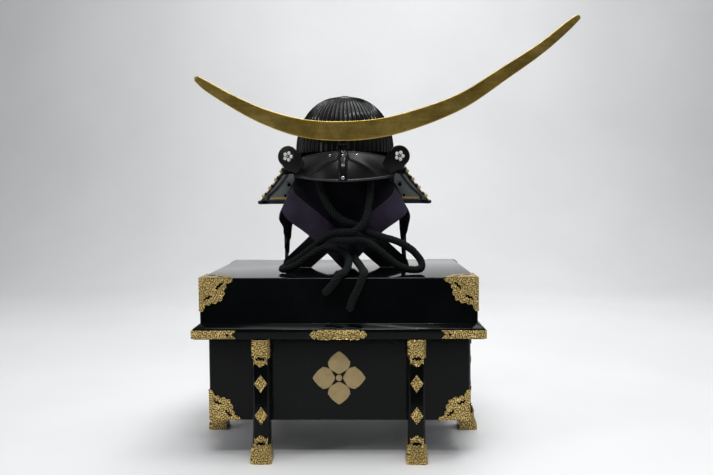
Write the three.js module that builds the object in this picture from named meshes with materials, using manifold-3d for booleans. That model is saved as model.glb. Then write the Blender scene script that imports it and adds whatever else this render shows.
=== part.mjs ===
// A samurai helmet (kabuto) with a tall crescent crest, on its wooden stand with a draped
// cloth and a tied chin cord, standing on a lacquered six-legged armour chest.
// Millimetres, +Z up, the front looks along -Y, +X is to the right as seen from the front.
import * as THREE from 'three';
import { mergeVertices } from 'three/addons/utils/BufferGeometryUtils.js';
import Module from 'manifold-3d';

const wasm = await Module();
wasm.setup();

// ---- driving dimensions -------------------------------------------------------------

const GAP = 0.3; // between pieces that touch
const LEAF = 1.2; // thickness of the gilt plates

const BOX = { width: 541, depth: 394, bottom: 78.5, wall: 12 };
const LID = { width: 570, depth: 420, bottom: 283.5, top: 378, panel: 12 };
const FLANGE = { width: 598, depth: 448, bottom: 253, edge: 273.5 };
const LEG = { spread: 159, width: 26, reach: 27, footWidth: 32, footReach: 42, corner: 4.5 };

const HELMET = { x: 9, y: 5 }; // the helmet stands a little right of the chest's middle
const BOWL = { halfWidth: 111, halfDepth: 122, rim: 641, height: 130, wall: 3, ribs: 62, rib: 1.8 };
const BOWL_POWER = 2.2; // a little fuller than an ellipse
const BOWL_ROWS = 6;
const BAND = { height: 22, wall: 2 };
const VISOR = { topHalf: 92, lipHalf: 113, lipReach: 33, lipDrop: 64, wall: 2.2, lip: 3 };
const HOLDER = { width: 20, top: 676 };
const CREST = { y: -143, thickness: 4 };
const NECK = { top: 622, bottom: 531, topHalf: 121, bottomHalf: 163, topBack: 131, bottomBack: 175 };
const LAME = { wall: 1.6, step: 3.6, lean: 1.2, overlap: 7 };
const LAME_TAILS = [95.4, 78, 74, 70, 66]; // how far each lame runs forward of the helmet's middle
const EAR = { x: 121.5, z: 631, rootX: 93, rootZ: 603, radius: 23, wall: 3, rootY: -113, lean: 0.42 };
const STAND = { board: 6, padHalf: 58, padDrop: 16, neckHalf: 40 };
const CLOTH = { wall: 1.6, frontTip: 381, sideTip: 412, peak: 512 };
const CORD = { diameter: 16, sides: 8 };

const FLOOR_OF_STAND = LID.top + GAP;

// ---- meshes and solids --------------------------------------------------------------

const degrees = (angle) => THREE.MathUtils.degToRad(angle);
const lerp = THREE.MathUtils.lerp;

// A BufferGeometry from lists of corner points and triangles, with its faces pointing out.
function bodyFrom(points, triangles) {
  let volume = 0;
  for (const [a, b, c] of triangles) {
    volume += points[a].dot(points[b].clone().cross(points[c]));
  }
  const faces = volume < 0 ? triangles.map(([a, b, c]) => [a, c, b]) : triangles;
  const geometry = new THREE.BufferGeometry();
  geometry.setAttribute('position', new THREE.Float32BufferAttribute(points.flatMap((p) => p.toArray()), 3));
  geometry.setIndex(faces.flat());
  return geometry;
}

// A stack of closed sections with the same number of corners, capped at both ends.
function loft(sections) {
  const count = sections[0].length;
  const triangles = [];
  for (let row = 0; row + 1 < sections.length; row++) {
    for (let i = 0; i < count; i++) {
      const next = (i + 1) % count;
      const [a, b] = [row * count + i, row * count + next];
      triangles.push([a, b, b + count], [a, b + count, a + count]);
    }
  }
  const last = (sections.length - 1) * count;
  for (let i = 1; i + 1 < count; i++) {
    triangles.push([0, i + 1, i], [last, last + i, last + i + 1]);
  }
  return bodyFrom(sections.flat(), triangles);
}

// An open wall between two surfaces. outside(u, v) and inside(u, v) give points for u and v
// from 0 to 1, and edges close it all round.
function openWall(columns, rows, outside, inside) {
  const sections = [];
  for (let i = 0; i <= columns; i++) {
    const section = [];
    for (let j = 0; j <= rows; j++) section.push(outside(i / columns, j / rows));
    for (let j = rows; j >= 0; j--) section.push(inside(i / columns, j / rows));
    sections.push(section);
  }
  return loft(sections);
}

// A dome's wall that runs right round: v = 0 is the crown, v = 1 the free edge.
function domeWall(columns, rows, outside, inside) {
  const points = [outside(0, 0), inside(0, 0)];
  const triangles = [];
  const at = (layer, j, i) => 2 + (layer * rows + j - 1) * columns + (i % columns);
  for (const surface of [outside, inside]) {
    for (let j = 1; j <= rows; j++) {
      for (let i = 0; i < columns; i++) points.push(surface(i / columns, j / rows));
    }
  }
  for (let i = 0; i < columns; i++) {
    triangles.push([0, at(0, 1, i), at(0, 1, i + 1)], [1, at(1, 1, i + 1), at(1, 1, i)]);
    for (let j = 1; j < rows; j++) {
      const [a, b, c, d] = [at(0, j, i), at(0, j, i + 1), at(0, j + 1, i + 1), at(0, j + 1, i)];
      triangles.push([a, d, c], [a, c, b]);
      const [e, f, g, h] = [at(1, j, i), at(1, j, i + 1), at(1, j + 1, i + 1), at(1, j + 1, i)];
      triangles.push([e, g, h], [e, f, g]);
    }
    triangles.push([at(0, rows, i), at(1, rows, i), at(1, rows, i + 1)]);
    triangles.push([at(0, rows, i), at(1, rows, i + 1), at(0, rows, i + 1)]);
  }
  return bodyFrom(points, triangles);
}

function solidOf(geometry) {
  const bare = geometry.clone();
  bare.deleteAttribute('normal');
  bare.deleteAttribute('uv');
  const merged = mergeVertices(bare, 1e-4);
  const vertProperties = new Float32Array(merged.attributes.position.array);
  const triVerts = new Uint32Array(merged.index.array);
  return new wasm.Manifold(new wasm.Mesh({ numProp: 3, vertProperties, triVerts }));
}

function geometryOf(solid) {
  const mesh = solid.getMesh();
  const geometry = new THREE.BufferGeometry();
  geometry.setAttribute('position', new THREE.BufferAttribute(mesh.vertProperties, 3));
  geometry.setIndex(new THREE.BufferAttribute(mesh.triVerts, 1));
  return geometry;
}

function block(x0, x1, y0, y1, z0, z1) {
  const geometry = new THREE.BoxGeometry(x1 - x0, y1 - y0, z1 - z0);
  return geometry.translate((x0 + x1) / 2, (y0 + y1) / 2, (z0 + z1) / 2);
}

// A flat outline in X and Z, made solid from y0 to y1.
function slab(shape, y0, y1, curveSegments = 4) {
  const geometry = new THREE.ExtrudeGeometry(shape, { depth: y1 - y0, bevelEnabled: false, curveSegments });
  return geometry.rotateX(Math.PI / 2).translate(0, y1, 0);
}

function polygon(corners) {
  return new THREE.Shape(corners.map(([x, y]) => new THREE.Vector2(x, y)));
}

// ---- finishes -----------------------------------------------------------------------

const finish = (color, roughness, metalness) => new THREE.MeshStandardMaterial({ color, roughness, metalness });
const BLACK_LACQUER = [0x0b0c0c, 0.12, 0];
const SATIN_IRON = [0x2a2d2f, 0.35, 0.4];
const GOLD_LEAF = [0xb08d3c, 0.38, 1];
const GILT = [0xa8873f, 0.32, 1];
const LEATHER = [0x14130f, 0.6, 0];
const IVORY = [0xeeeeea, 0.5, 0];
const NAVY_CLOTH = [0x1c1b2c, 0.85, 0];
const GREEN_CORD = [0x1b211f, 0.85, 0];
const BLACK_WOOD = [0x0d0d0d, 0.3, 0];

const chest = new THREE.Group();
const helmet = new THREE.Group();
helmet.position.set(HELMET.x, HELMET.y, 0);

function add(group, name, geometry, look) {
  const mesh = new THREE.Mesh(geometry, finish(...look));
  mesh.name = name;
  group.add(mesh);
  return mesh;
}

// ---- the chest ----------------------------------------------------------------------

// A level rectangle with small cut corners, as one section of a loft.
function level(width, depth, z, corner) {
  const [x, y] = [width / 2, depth / 2];
  const outline = [[x, y - corner], [x - corner, y], [corner - x, y], [-x, y - corner]];
  const other = outline.map(([a, b]) => [-a, -b]);
  return [...outline, ...other].map(([a, b]) => new THREE.Vector3(a, b, z));
}

function boxBody() {
  const rimTop = LID.top - LID.panel - GAP;
  const outer = loft([
    level(BOX.width - 3, BOX.depth - 3, BOX.bottom, 3),
    level(BOX.width, BOX.depth, BOX.bottom + 1.5, 3),
    level(BOX.width, BOX.depth, rimTop, 3),
  ]);
  const [x, y] = [BOX.width / 2 - BOX.wall, BOX.depth / 2 - BOX.wall];
  const inside = block(-x, x, -y, y, BOX.bottom + BOX.wall, rimTop + 5);
  return geometryOf(solidOf(outer).subtract(solidOf(inside)));
}

// The lid with the moulding round its lower edge, hollow to fit over the box.
function lidBody() {
  const outer = loft([
    level(FLANGE.width - 4, FLANGE.depth - 4, FLANGE.bottom, 3),
    level(FLANGE.width, FLANGE.depth, FLANGE.bottom + 2, 3),
    level(FLANGE.width, FLANGE.depth, FLANGE.edge - 1, 3),
    level(FLANGE.width - 3, FLANGE.depth - 3, FLANGE.edge + 1.5, 3),
    level(LID.width + 8, LID.depth + 8, LID.bottom - 2, 3),
    level(LID.width, LID.depth, LID.bottom, 3),
    level(LID.width, LID.depth, LID.top - 2, 3),
    level(LID.width - 4, LID.depth - 4, LID.top, 2),
  ]);
  const [x, y] = [BOX.width / 2 + GAP, BOX.depth / 2 + GAP];
  const inside = block(-x, x, -y, y, FLANGE.bottom - 5, LID.top - LID.panel);
  return geometryOf(solidOf(outer).subtract(solidOf(inside)));
}

// The legs' levels from the floor up: height, face width and how far the leg stands out.
const LEG_LEVELS = [
  { z: 0, width: LEG.footWidth, reach: LEG.footReach },
  { z: 12, width: LEG.footWidth - 1, reach: LEG.footReach - 1 },
  { z: 34, width: LEG.width + 1.5, reach: 34 },
  { z: 62, width: LEG.width, reach: 29 },
  { z: FLANGE.bottom - GAP, width: LEG.width, reach: LEG.reach },
];

// A leg in its own frame: it stands against the plane y = 0 and looks along -Y.
function legBody(grow = 0, back = GAP) {
  const sections = LEG_LEVELS.map(({ z, width, reach }) => {
    const [x, y] = [width / 2 + grow * 0.6, reach + grow];
    const side = x + LEG.corner + grow * 0.4;
    const outline = [[-side, -back], [-side, -(y - LEG.corner)], [-x, -y]];
    const mirrored = outline.map(([a, b]) => [-a, b]).reverse();
    return [...outline, ...mirrored].map(([a, b]) => new THREE.Vector3(a, b, z));
  });
  return loft(sections);
}

// A three-lobed piercing round (x, z), as a hole in an outline.
function trefoil(x, z, size) {
  const corners = [];
  for (let lobe = 0; lobe < 3; lobe++) {
    const turn = degrees(90 + lobe * 120);
    for (const swing of [-85, 0, 85]) {
      const at = turn + degrees(swing);
      const [cx, cz] = [Math.cos(turn) * 0.55 + Math.cos(at) * 0.5, Math.sin(turn) * 0.55 + Math.sin(at) * 0.5];
      corners.push(new THREE.Vector2(x + cx * size, z + cz * size));
    }
  }
  return new THREE.Path(corners);
}

// The upright outline of a leg cap. It rises to an ogee point, and up is -1 for a cap that hangs.
function capOutline(edge, height, up) {
  const half = LEG.footWidth / 2 + 12;
  const shoulder = edge + up * (height - 16);
  const tip = edge + up * height;
  const shape = new THREE.Shape();
  shape.moveTo(-half, edge);
  shape.lineTo(half, edge);
  shape.lineTo(half, shoulder - up * 6);
  shape.lineTo(13.5, shoulder);
  shape.quadraticCurveTo(9, shoulder + up * 9, 3.5, shoulder + up * 10);
  shape.lineTo(0, tip);
  shape.lineTo(-3.5, shoulder + up * 10);
  shape.quadraticCurveTo(-9, shoulder + up * 9, -13.5, shoulder);
  shape.lineTo(-half, shoulder - up * 6);
  shape.holes.push(trefoil(0, shoulder - up * 1.5, 5));
  return shape;
}

// A gilt sleeve round a leg's front and sides, cut to an outline.
function legCap(outline) {
  const outer = solidOf(legBody(GAP + LEAF, GAP));
  const inner = solidOf(legBody(GAP, -5));
  const keep = solidOf(slab(outline, -LEG.footReach - 20, -GAP - 0.1, 1));
  return geometryOf(outer.subtract(inner).intersect(keep));
}

const LEG_PLACES = [
  { name: 'front_left', x: -LEG.spread, y: -BOX.depth / 2, turn: 0 },
  { name: 'front_right', x: LEG.spread, y: -BOX.depth / 2, turn: 0 },
  { name: 'back_left', x: -LEG.spread, y: BOX.depth / 2, turn: 180 },
  { name: 'back_right', x: LEG.spread, y: BOX.depth / 2, turn: 180 },
  { name: 'side_left', x: -BOX.width / 2, y: 0, turn: -90 },
  { name: 'side_right', x: BOX.width / 2, y: 0, turn: 90 },
];

function addLegs() {
  const foot = legCap(capOutline(0, 56, 1));
  const top = legCap(capOutline(FLANGE.bottom - GAP, 55, -1));
  for (const { name, x, y, turn } of LEG_PLACES) {
    const place = new THREE.Group();
    place.position.set(x, y, 0);
    place.rotation.z = degrees(turn);
    chest.add(place);
    add(place, `leg_${name}`, legBody(), BLACK_LACQUER);
    add(place, `foot_cap_${name}`, foot, GILT);
    add(place, `top_cap_${name}`, top, GILT);
  }
}

// A corner plate's outline: two straight edges of the given length and a scalloped long side
// between them, with two piercings. It lies to the left of and below the corner at 0, 0.
function cornerOutline(size, pierced) {
  const shape = new THREE.Shape();
  shape.moveTo(0, 0);
  shape.lineTo(-size, 0);
  shape.lineTo(-size, -0.13 * size);
  shape.quadraticCurveTo(-0.86 * size, -0.3 * size, -0.72 * size, -0.2 * size);
  shape.quadraticCurveTo(-0.62 * size, -0.42 * size, -0.5 * size, -0.42 * size);
  shape.lineTo(-0.42 * size, -0.5 * size);
  shape.quadraticCurveTo(-0.42 * size, -0.62 * size, -0.2 * size, -0.72 * size);
  shape.quadraticCurveTo(-0.3 * size, -0.86 * size, -0.13 * size, -size);
  shape.lineTo(0, -size);
  if (pierced) shape.holes.push(trefoil(-0.55 * size, -0.2 * size, 5), trefoil(-0.2 * size, -0.55 * size, 5));
  return shape;
}

// Three plates that meet on the corner of a box at 0, 0, 0, whose sides run to -X, +Y and -Z.
// They stand GAP off the box. With no third plate, the flat one is left out.
function cornerFitting(size, withFlat) {
  const near = GAP;
  const far = GAP + LEAF;
  const lift = withFlat ? far : 0;
  const front = slab(cornerOutline(size, true), 0, LEAF, 1).translate(far, -far, lift);
  const side = front.clone().applyMatrix4(new THREE.Matrix4().set(0, -1, 0, 0, -1, 0, 0, 0, 0, 0, 1, 0, 0, 0, 0, 1));
  let solid = solidOf(front).add(solidOf(flipped(side)));
  if (withFlat) {
    const turned = new THREE.Matrix4().set(1, 0, 0, 0, 0, 0, -1, 0, 0, -1, 0, 0, 0, 0, 0, 1);
    const flat = slab(cornerOutline(size, false), 0, LEAF, 1).translate(far, -far, lift);
    solid = solid.add(solidOf(flipped(flat.applyMatrix4(turned))));
  }
  const room = block(-size * 2, near, -near, size * 2, -size * 2, withFlat ? near : 1);
  return geometryOf(solid.subtract(solidOf(room)));
}

// A mirrored geometry with its faces turned round, so that they point out again.
function flipped(geometry) {
  const bare = geometry.clone();
  bare.deleteAttribute('normal');
  bare.deleteAttribute('uv');
  const merged = mergeVertices(bare, 1e-4);
  const index = Array.from(merged.index.array);
  for (let i = 0; i < index.length; i += 3) [index[i], index[i + 1]] = [index[i + 1], index[i]];
  merged.setIndex(index);
  return merged;
}

// The band on a corner of the moulding: two arms with a swallowtail end and a round hole.
function flangeCorner() {
  const height = FLANGE.edge - FLANGE.bottom - 3.5;
  const arm = 90;
  const far = GAP + LEAF;
  const shape = new THREE.Shape();
  shape.moveTo(far, 0);
  shape.lineTo(-arm, 0);
  shape.quadraticCurveTo(-arm + 4, height * 0.35, -arm + 9, height / 2);
  shape.quadraticCurveTo(-arm + 4, height * 0.65, -arm, height);
  shape.lineTo(far, height);
  const hole = new THREE.Path();
  hole.absarc(-arm + 18, height / 2, 2.4, 0, 2 * Math.PI, false);
  shape.holes.push(hole);
  const front = slab(shape, 0, LEAF, 2).translate(0, -far, 0);
  const side = front.clone().applyMatrix4(new THREE.Matrix4().set(0, -1, 0, 0, -1, 0, 0, 0, 0, 0, 1, 0, 0, 0, 0, 1));
  return geometryOf(solidOf(front).add(solidOf(flipped(side))));
}

// The cartouche in the middle of a side of the moulding, with ogee ends.
function flangePlate() {
  const height = FLANGE.edge - FLANGE.bottom - 3.5;
  const half = 57;
  const shape = new THREE.Shape();
  shape.moveTo(-half, height / 2);
  shape.quadraticCurveTo(-half + 3, 2, -half + 10, 2.5);
  shape.quadraticCurveTo(-half + 16, 2, -half + 18, 0);
  shape.lineTo(half - 18, 0);
  shape.quadraticCurveTo(half - 16, 2, half - 10, 2.5);
  shape.quadraticCurveTo(half - 3, 2, half, height / 2);
  shape.quadraticCurveTo(half - 3, height - 2, half - 10, height - 2.5);
  shape.quadraticCurveTo(half - 16, height - 2, half - 18, height);
  shape.lineTo(-half + 18, height);
  shape.quadraticCurveTo(-half + 16, height - 2, -half + 10, height - 2.5);
  shape.quadraticCurveTo(-half + 3, height - 2, -half, height / 2);
  return slab(shape, -GAP - LEAF, -GAP, 2);
}

// Copies of a corner piece on the four corners of a width by depth rectangle at height z. The
// piece fits the front right corner, and turned by half a turn about X it fits a lower corner.
function addCorners(name, geometry, width, depth, z, upsideDown) {
  const places = [['front_right', 1, -1], ['back_right', 1, 1], ['front_left', -1, -1], ['back_left', -1, 1]];
  for (const [place, sx, sy] of places) {
    const mirrored = new THREE.Matrix4().makeScale(sx, -sy, upsideDown ? -1 : 1);
    const copy = geometry.clone().applyMatrix4(mirrored);
    const turns = sx * -sy * (upsideDown ? -1 : 1);
    const mesh = add(chest, `${name}_${place}`, turns < 0 ? flipped(copy) : copy, GILT);
    mesh.position.set(sx * width / 2, sy * depth / 2, z);
  }
}

function addFittings() {
  addCorners('lid_corner', cornerFitting(68, true), LID.width, LID.depth, LID.top, false);
  addCorners('box_corner', cornerFitting(66, false), BOX.width, BOX.depth, BOX.bottom + 2, true);
  addCorners('flange_corner', flangeCorner(), FLANGE.width, FLANGE.depth, FLANGE.bottom + 2.2, false);
  const sides = [['front', 0, -1, 0], ['back', 0, 1, 180], ['left', -1, 0, -90], ['right', 1, 0, 90]];
  for (const [name, sx, sy, turn] of sides) {
    const plate = add(chest, `flange_plate_${name}`, flangePlate(), GILT);
    plate.position.set(sx * FLANGE.width / 2, sy * FLANGE.depth / 2, FLANGE.bottom + 2.2);
    plate.rotation.z = degrees(turn);
  }
}

// ---- the helmet ---------------------------------------------------------------------

// A point of the bowl's surface, from its crown at fall 0 to its rim at fall 1, moved inward by
// inset and outward by rib.
function bowlPoint(turn, fall, inset, rib = 0) {
  const share = Math.sin((fall * Math.PI) / 2);
  const up = (1 - share ** BOWL_POWER) ** (1 / BOWL_POWER);
  const x = (BOWL.halfWidth - inset) * share + rib * share;
  const y = (BOWL.halfDepth - inset) * share + rib * share;
  const z = BOWL.rim + (BOWL.height - inset) * up;
  return new THREE.Vector3(Math.sin(turn) * x, -Math.cos(turn) * y, z);
}

// The outside has two columns to each rib, one on its crest and one in its valley.
function bowlBody() {
  const columns = BOWL.ribs * 2;
  const ribOf = (u) => (Math.round(u * columns) % 2 === 0 ? BOWL.rib : 0);
  const around = (u) => u * 2 * Math.PI;
  const outside = (u, v) => bowlPoint(around(u), v, 0, ribOf(u));
  const ring = (v) => Array.from({ length: columns }, (_, i) => outside(i / columns, v));
  const sections = [];
  for (let j = 1; j <= BOWL_ROWS; j++) sections.push(ring(j / BOWL_ROWS));
  const shell = loft(sections);
  const count = 36;
  const hollow = [];
  for (let j = 1; j <= BOWL_ROWS; j++) {
    hollow.push(Array.from({ length: count }, (_, i) => bowlPoint(around(i / count), j / BOWL_ROWS, BOWL.wall)));
  }
  hollow.push(hollow[BOWL_ROWS - 1].map((p) => p.clone().setZ(BOWL.rim - 5)));
  return geometryOf(solidOf(shell).subtract(solidOf(loft(hollow))));
}

// The gilt ring and petals round the hole at the crown, with a low collar.
function crownFitting() {
  const z = bowlPoint(0, 1 / BOWL_ROWS, 0).z + GAP;
  const profile = [[8, 0], [24, 0], [24, 1], [15, 3.4], [12, 4.4], [10, 6.4], [8, 5.4]];
  const points = profile.map(([r, h]) => new THREE.Vector2(r, h));
  points.push(points[0].clone());
  return new THREE.LatheGeometry(points, 12).rotateX(Math.PI / 2).translate(0, 0, z);
}

// The upright band under the bowl's rim, open in front where the visor is.
function baseBand() {
  const [low, high] = [BOWL.rim - BAND.height, BOWL.rim - GAP];
  const point = (u, v, inset) => {
    const turn = lerp(degrees(62), degrees(298), u);
    const x = Math.sin(turn) * (BOWL.halfWidth - inset);
    const y = -Math.cos(turn) * (BOWL.halfDepth - inset);
    return new THREE.Vector3(x, y, lerp(high, low, v));
  };
  return openWall(24, 1, (u, v) => point(u, v, 0), (u, v) => point(u, v, BAND.wall));
}

// The visor runs from the bowl's front rim forward and down to a rolled lip.
function visorPoint(u, v, lift) {
  const side = 2 * u - 1;
  const topX = VISOR.topHalf * side;
  const lipX = VISOR.lipHalf * side;
  const topY = -BOWL.halfDepth * Math.sqrt(1 - (topX / BOWL.halfWidth) ** 2) - 1;
  const lipY = -(BOWL.halfDepth + VISOR.lipReach) * Math.sqrt(1 - 0.82 * side * side);
  const topZ = BOWL.rim - 1 - 9 * side * side;
  const lipZ = BOWL.rim - VISOR.lipDrop + 13 * side * side;
  const bulge = Math.sin(v * Math.PI) * 5;
  const point = new THREE.Vector3(lerp(topX, lipX, v), lerp(topY, lipY, v), lerp(topZ, lipZ, v));
  const out = new THREE.Vector3(side * 0.5, -1, 0.45).normalize();
  return point.addScaledVector(out, bulge + lift);
}

// Its sections run down the outside, round the lip and up the inside.
function visorBody() {
  const columns = 14;
  const sections = [];
  for (let i = 0; i <= columns; i++) {
    const u = i / columns;
    const middle = visorPoint(u, 1, -VISOR.wall / 2);
    const out = visorPoint(u, 1, 1).sub(visorPoint(u, 1, 0)).normalize();
    const down = middle.clone().sub(visorPoint(u, 0.9, -VISOR.wall / 2)).normalize();
    const lip = [-45, 0, 45, 90, 135, 180, 225].map((angle) => {
      const [across, along] = [Math.cos(degrees(angle)) * VISOR.lip, Math.sin(degrees(angle)) * VISOR.lip];
      return middle.clone().addScaledVector(out, across).addScaledVector(down, along);
    });
    const outside = [0, 0.5, 0.92].map((v) => visorPoint(u, v, 0));
    const inside = [0.92, 0.5, 0].map((v) => visorPoint(u, v, -VISOR.wall));
    sections.push([...outside, ...lip, ...inside]);
  }
  return loft(sections);
}

// The half-round post on the visor, with the upright tongue that the crest stands against.
function crestHolder() {
  const half = HOLDER.width / 2;
  const tongue = CREST.y - HELMET.y + CREST.thickness / 2 + GAP;
  const levels = [1, 0.75, 0.5, 0.25, 0].map((v) => ({ at: visorPoint(0.5, v, 1.8), bulge: 5 }));
  levels[0].at.y -= 1.5;
  levels.push({ at: new THREE.Vector3(0, tongue + 6, BOWL.rim + 14), bulge: 6 });
  levels.push({ at: new THREE.Vector3(0, tongue + 6, HOLDER.top), bulge: 6 });
  const sections = levels.map(({ at, bulge }) =>
    [-1, -0.8, -0.4, 0, 0.4, 0.8, 1].map((share) => {
      const y = at.y - Math.sqrt(1 - 0.97 * share * share) * bulge;
      return new THREE.Vector3(share * half, y, at.z);
    }).concat([new THREE.Vector3(half, at.y, at.z), new THREE.Vector3(-half, at.y, at.z)]),
  );
  return loft(sections);
}

// The crest's stations from its left tip to its right tip: middle line and width.
const CREST_STATIONS = [
  { x: -303, z: 796, width: 10 },
  { x: -283, z: 781, width: 19 },
  { x: -236, z: 752, width: 24 },
  { x: -163, z: 715, width: 31 },
  { x: -78, z: 688, width: 38 },
  { x: 8, z: 681, width: 41 },
  { x: 94, z: 688, width: 40 },
  { x: 180, z: 711, width: 37 },
  { x: 262, z: 744, width: 32 },
  { x: 345, z: 797, width: 27 },
  { x: 428, z: 853, width: 21.5 },
  { x: 488, z: 903, width: 15.5 },
  { x: 504, z: 916, width: 9 },
];

function crestBody() {
  const middle = new THREE.SplineCurve(CREST_STATIONS.map(({ x, z }) => new THREE.Vector2(x, z)));
  const width = new THREE.SplineCurve(CREST_STATIONS.map((s, i) => new THREE.Vector2(i, s.width)));
  const steps = 28;
  const half = CREST.thickness / 2;
  const sections = [];
  for (let i = 0; i <= steps; i++) {
    const t = i / steps;
    const at = middle.getPoint(t);
    const along = middle.getTangent(t);
    const reach = width.getPoint(t).y / 2;
    const across = (share, y) => new THREE.Vector3(at.x - along.y * reach * share, y, at.y + along.x * reach * share);
    sections.push([across(-0.93, -half), across(0.93, -half), across(1, 0), across(0.93, half), across(-0.93, half), across(-1, 0)]);
  }
  return loft(sections);
}

// Half sizes of the neck guard at a share of its height from the top.
function neckSize(fall) {
  const bow = Math.sin(fall * Math.PI) * 3;
  return {
    half: lerp(NECK.topHalf, NECK.bottomHalf, fall) - bow,
    back: lerp(NECK.topBack, NECK.bottomBack, fall) - bow,
    spread: lerp(3, 12, fall),
    z: lerp(NECK.top, NECK.bottom, fall),
  };
}

// A point of the neck guard. u runs from the left front end round the back to the right one.
function neckPoint(u, fall, outset, tail) {
  const side = 2 * u - 1;
  const { half, back, spread, z } = neckSize(fall);
  const round = 0.7;
  const share = Math.abs(side);
  if (share <= round) {
    const turn = (side / round) * (Math.PI / 2);
    return new THREE.Vector3(Math.sin(turn) * (half + outset), Math.cos(turn) * (back + outset), z);
  }
  const forward = (share - round) / (1 - round);
  const x = Math.sign(side) * (half + outset + spread * forward * forward);
  return new THREE.Vector3(x, -tail * forward, z);
}

// One lame. Its upper edge leans in behind the lame above it.
function lameBody(index) {
  const rise = 1 / LAME_TAILS.length;
  const lap = LAME.overlap / (NECK.top - NECK.bottom);
  const top = index * rise - (index > 0 ? lap : 0);
  const bottom = (index + 1) * rise;
  const surface = (inset) => (u, v) => {
    const outset = index * LAME.step - (1 - v) * LAME.lean - inset;
    return neckPoint(u, lerp(top, bottom, v), outset, LAME_TAILS[index]);
  };
  return openWall(24, 1, surface(0), surface(LAME.wall));
}

// An ear: a turned-back plate with a round end, tilted out by 45 degrees. side is -1 or 1.
function earBody(side) {
  const [dx, dz] = [EAR.x - EAR.rootX, EAR.z - EAR.rootZ];
  const length = Math.hypot(dx, dz);
  const shape = new THREE.Shape();
  shape.moveTo(-14, -length);
  shape.lineTo(14, -length);
  shape.lineTo(EAR.radius, -length * 0.35);
  shape.absarc(0, 0, EAR.radius, 0, Math.PI, false);
  shape.lineTo(-EAR.radius, -length * 0.35);
  const plate = slab(shape, -EAR.wall, 0, 7);
  plate.rotateY(side * Math.atan2(dx, dz));
  return plate.translate(side * EAR.x, 0, EAR.z).applyMatrix4(earLean(side)).translate(0, EAR.rootY, 0);
}

// The ears lean back from their roots to their round ends.
function earLean(side) {
  const [dx, shift] = [side * EAR.lean, -EAR.rootX * EAR.lean];
  return new THREE.Matrix4().set(1, 0, 0, 0, dx, 1, 0, shift, 0, 0, 1, 0, 0, 0, 0, 1);
}

// The badge on an ear: a ring of five petals.
function badgeBody(side) {
  const shape = new THREE.Shape();
  const [ring, petal] = [7.4, 4.5];
  const open = degrees(103);
  for (let i = 0; i < 5; i++) {
    const turn = degrees(90 + 72 * i);
    const [x, y] = [Math.cos(turn) * ring, Math.sin(turn) * ring];
    if (i === 0) shape.moveTo(x + Math.cos(turn - open) * petal, y + Math.sin(turn - open) * petal);
    shape.absarc(x, y, petal, turn - open, turn + open, false);
  }
  const middle = new THREE.Path();
  middle.absarc(0, 0, 2.6, 0, 2 * Math.PI, false);
  shape.holes.push(middle);
  const badge = slab(shape, -1.5, 0, 2).translate(side * EAR.x, -EAR.wall - GAP, EAR.z);
  return badge.applyMatrix4(earLean(side)).translate(0, EAR.rootY, 0);
}

// ---- the stand and the cloth --------------------------------------------------------

// Half of a board's outline: offset from its middle and height above the chest's lid.
const BOARD_HALF = [[0, 70], [80, 0], [149, 0], [144, 18], [92, 66], [STAND.neckHalf, 118]];

function boardBody(reach, slotFromTop) {
  const top = BOWL.rim + BOWL.height - BOWL.wall - CLOTH.wall - STAND.padDrop - 9 - FLOOR_OF_STAND;
  const right = [...BOARD_HALF.map(([x, z]) => [x * reach, z]), [STAND.neckHalf * 0.8, top]];
  const left = right.slice(1).reverse().map(([x, z]) => [-x, z]);
  const board = slab(polygon([...right, ...left]), -STAND.board / 2, STAND.board / 2).translate(0, 0, FLOOR_OF_STAND);
  const half = STAND.board / 2 + GAP;
  const middle = FLOOR_OF_STAND + 210;
  const slot = slotFromTop ? block(-half, half, -9, 9, middle - GAP, 900) : block(-half, half, -9, 9, 300, middle);
  return geometryOf(solidOf(board).subtract(solidOf(slot)));
}

// The round pad on the stand, domed like the inside of the bowl.
function padBody() {
  const low = BOWL.rim + BOWL.height - BOWL.wall - CLOTH.wall - STAND.padDrop - 8.4;
  const points = [new THREE.Vector2(0, low), new THREE.Vector2(STAND.padHalf - 6, low)];
  for (const share of [1, 0.5, 0]) {
    points.push(new THREE.Vector2(STAND.padHalf * share, padTop(STAND.padHalf * share)));
  }
  return new THREE.LatheGeometry(points, 20).rotateX(Math.PI / 2);
}

function padTop(r) {
  const crown = BOWL.rim + BOWL.height - BOWL.wall - CLOTH.wall - 2 * GAP - 4;
  return crown - STAND.padDrop * (r / STAND.padHalf) ** 2;
}

// The cloth's levels from the pad's edge down: height, half width, half depth and how square
// its section is, from 2 for round upward.
const CLOTH_LEVELS = [
  { z: padTop(STAND.padHalf), x: 58, y: 58, power: 2 },
  { z: 724, x: 74, y: 70, power: 2.1 },
  { z: 690, x: 89, y: 78, power: 2.2 },
  { z: 650, x: 98, y: 83, power: 2.3 },
  { z: 615, x: 102, y: 87, power: 2.6 },
  { z: 590, x: 112, y: 93, power: 3 },
  { z: 540, x: 124, y: 99, power: 4.5 },
  { z: 505, x: 130, y: 102, power: 7 },
  { z: 440, x: 134, y: 104, power: 8 },
  { z: CLOTH.frontTip - 5, x: 136, y: 105, power: 8 },
];

function clothLevel(z) {
  let i = 0;
  while (i + 2 < CLOTH_LEVELS.length && CLOTH_LEVELS[i + 1].z > z) i++;
  const [a, b] = [CLOTH_LEVELS[i], CLOTH_LEVELS[i + 1]];
  const t = THREE.MathUtils.clamp((a.z - z) / (a.z - b.z), 0, 1);
  return { x: lerp(a.x, b.x, t), y: lerp(a.y, b.y, t), power: lerp(a.power, b.power, t) };
}

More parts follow.
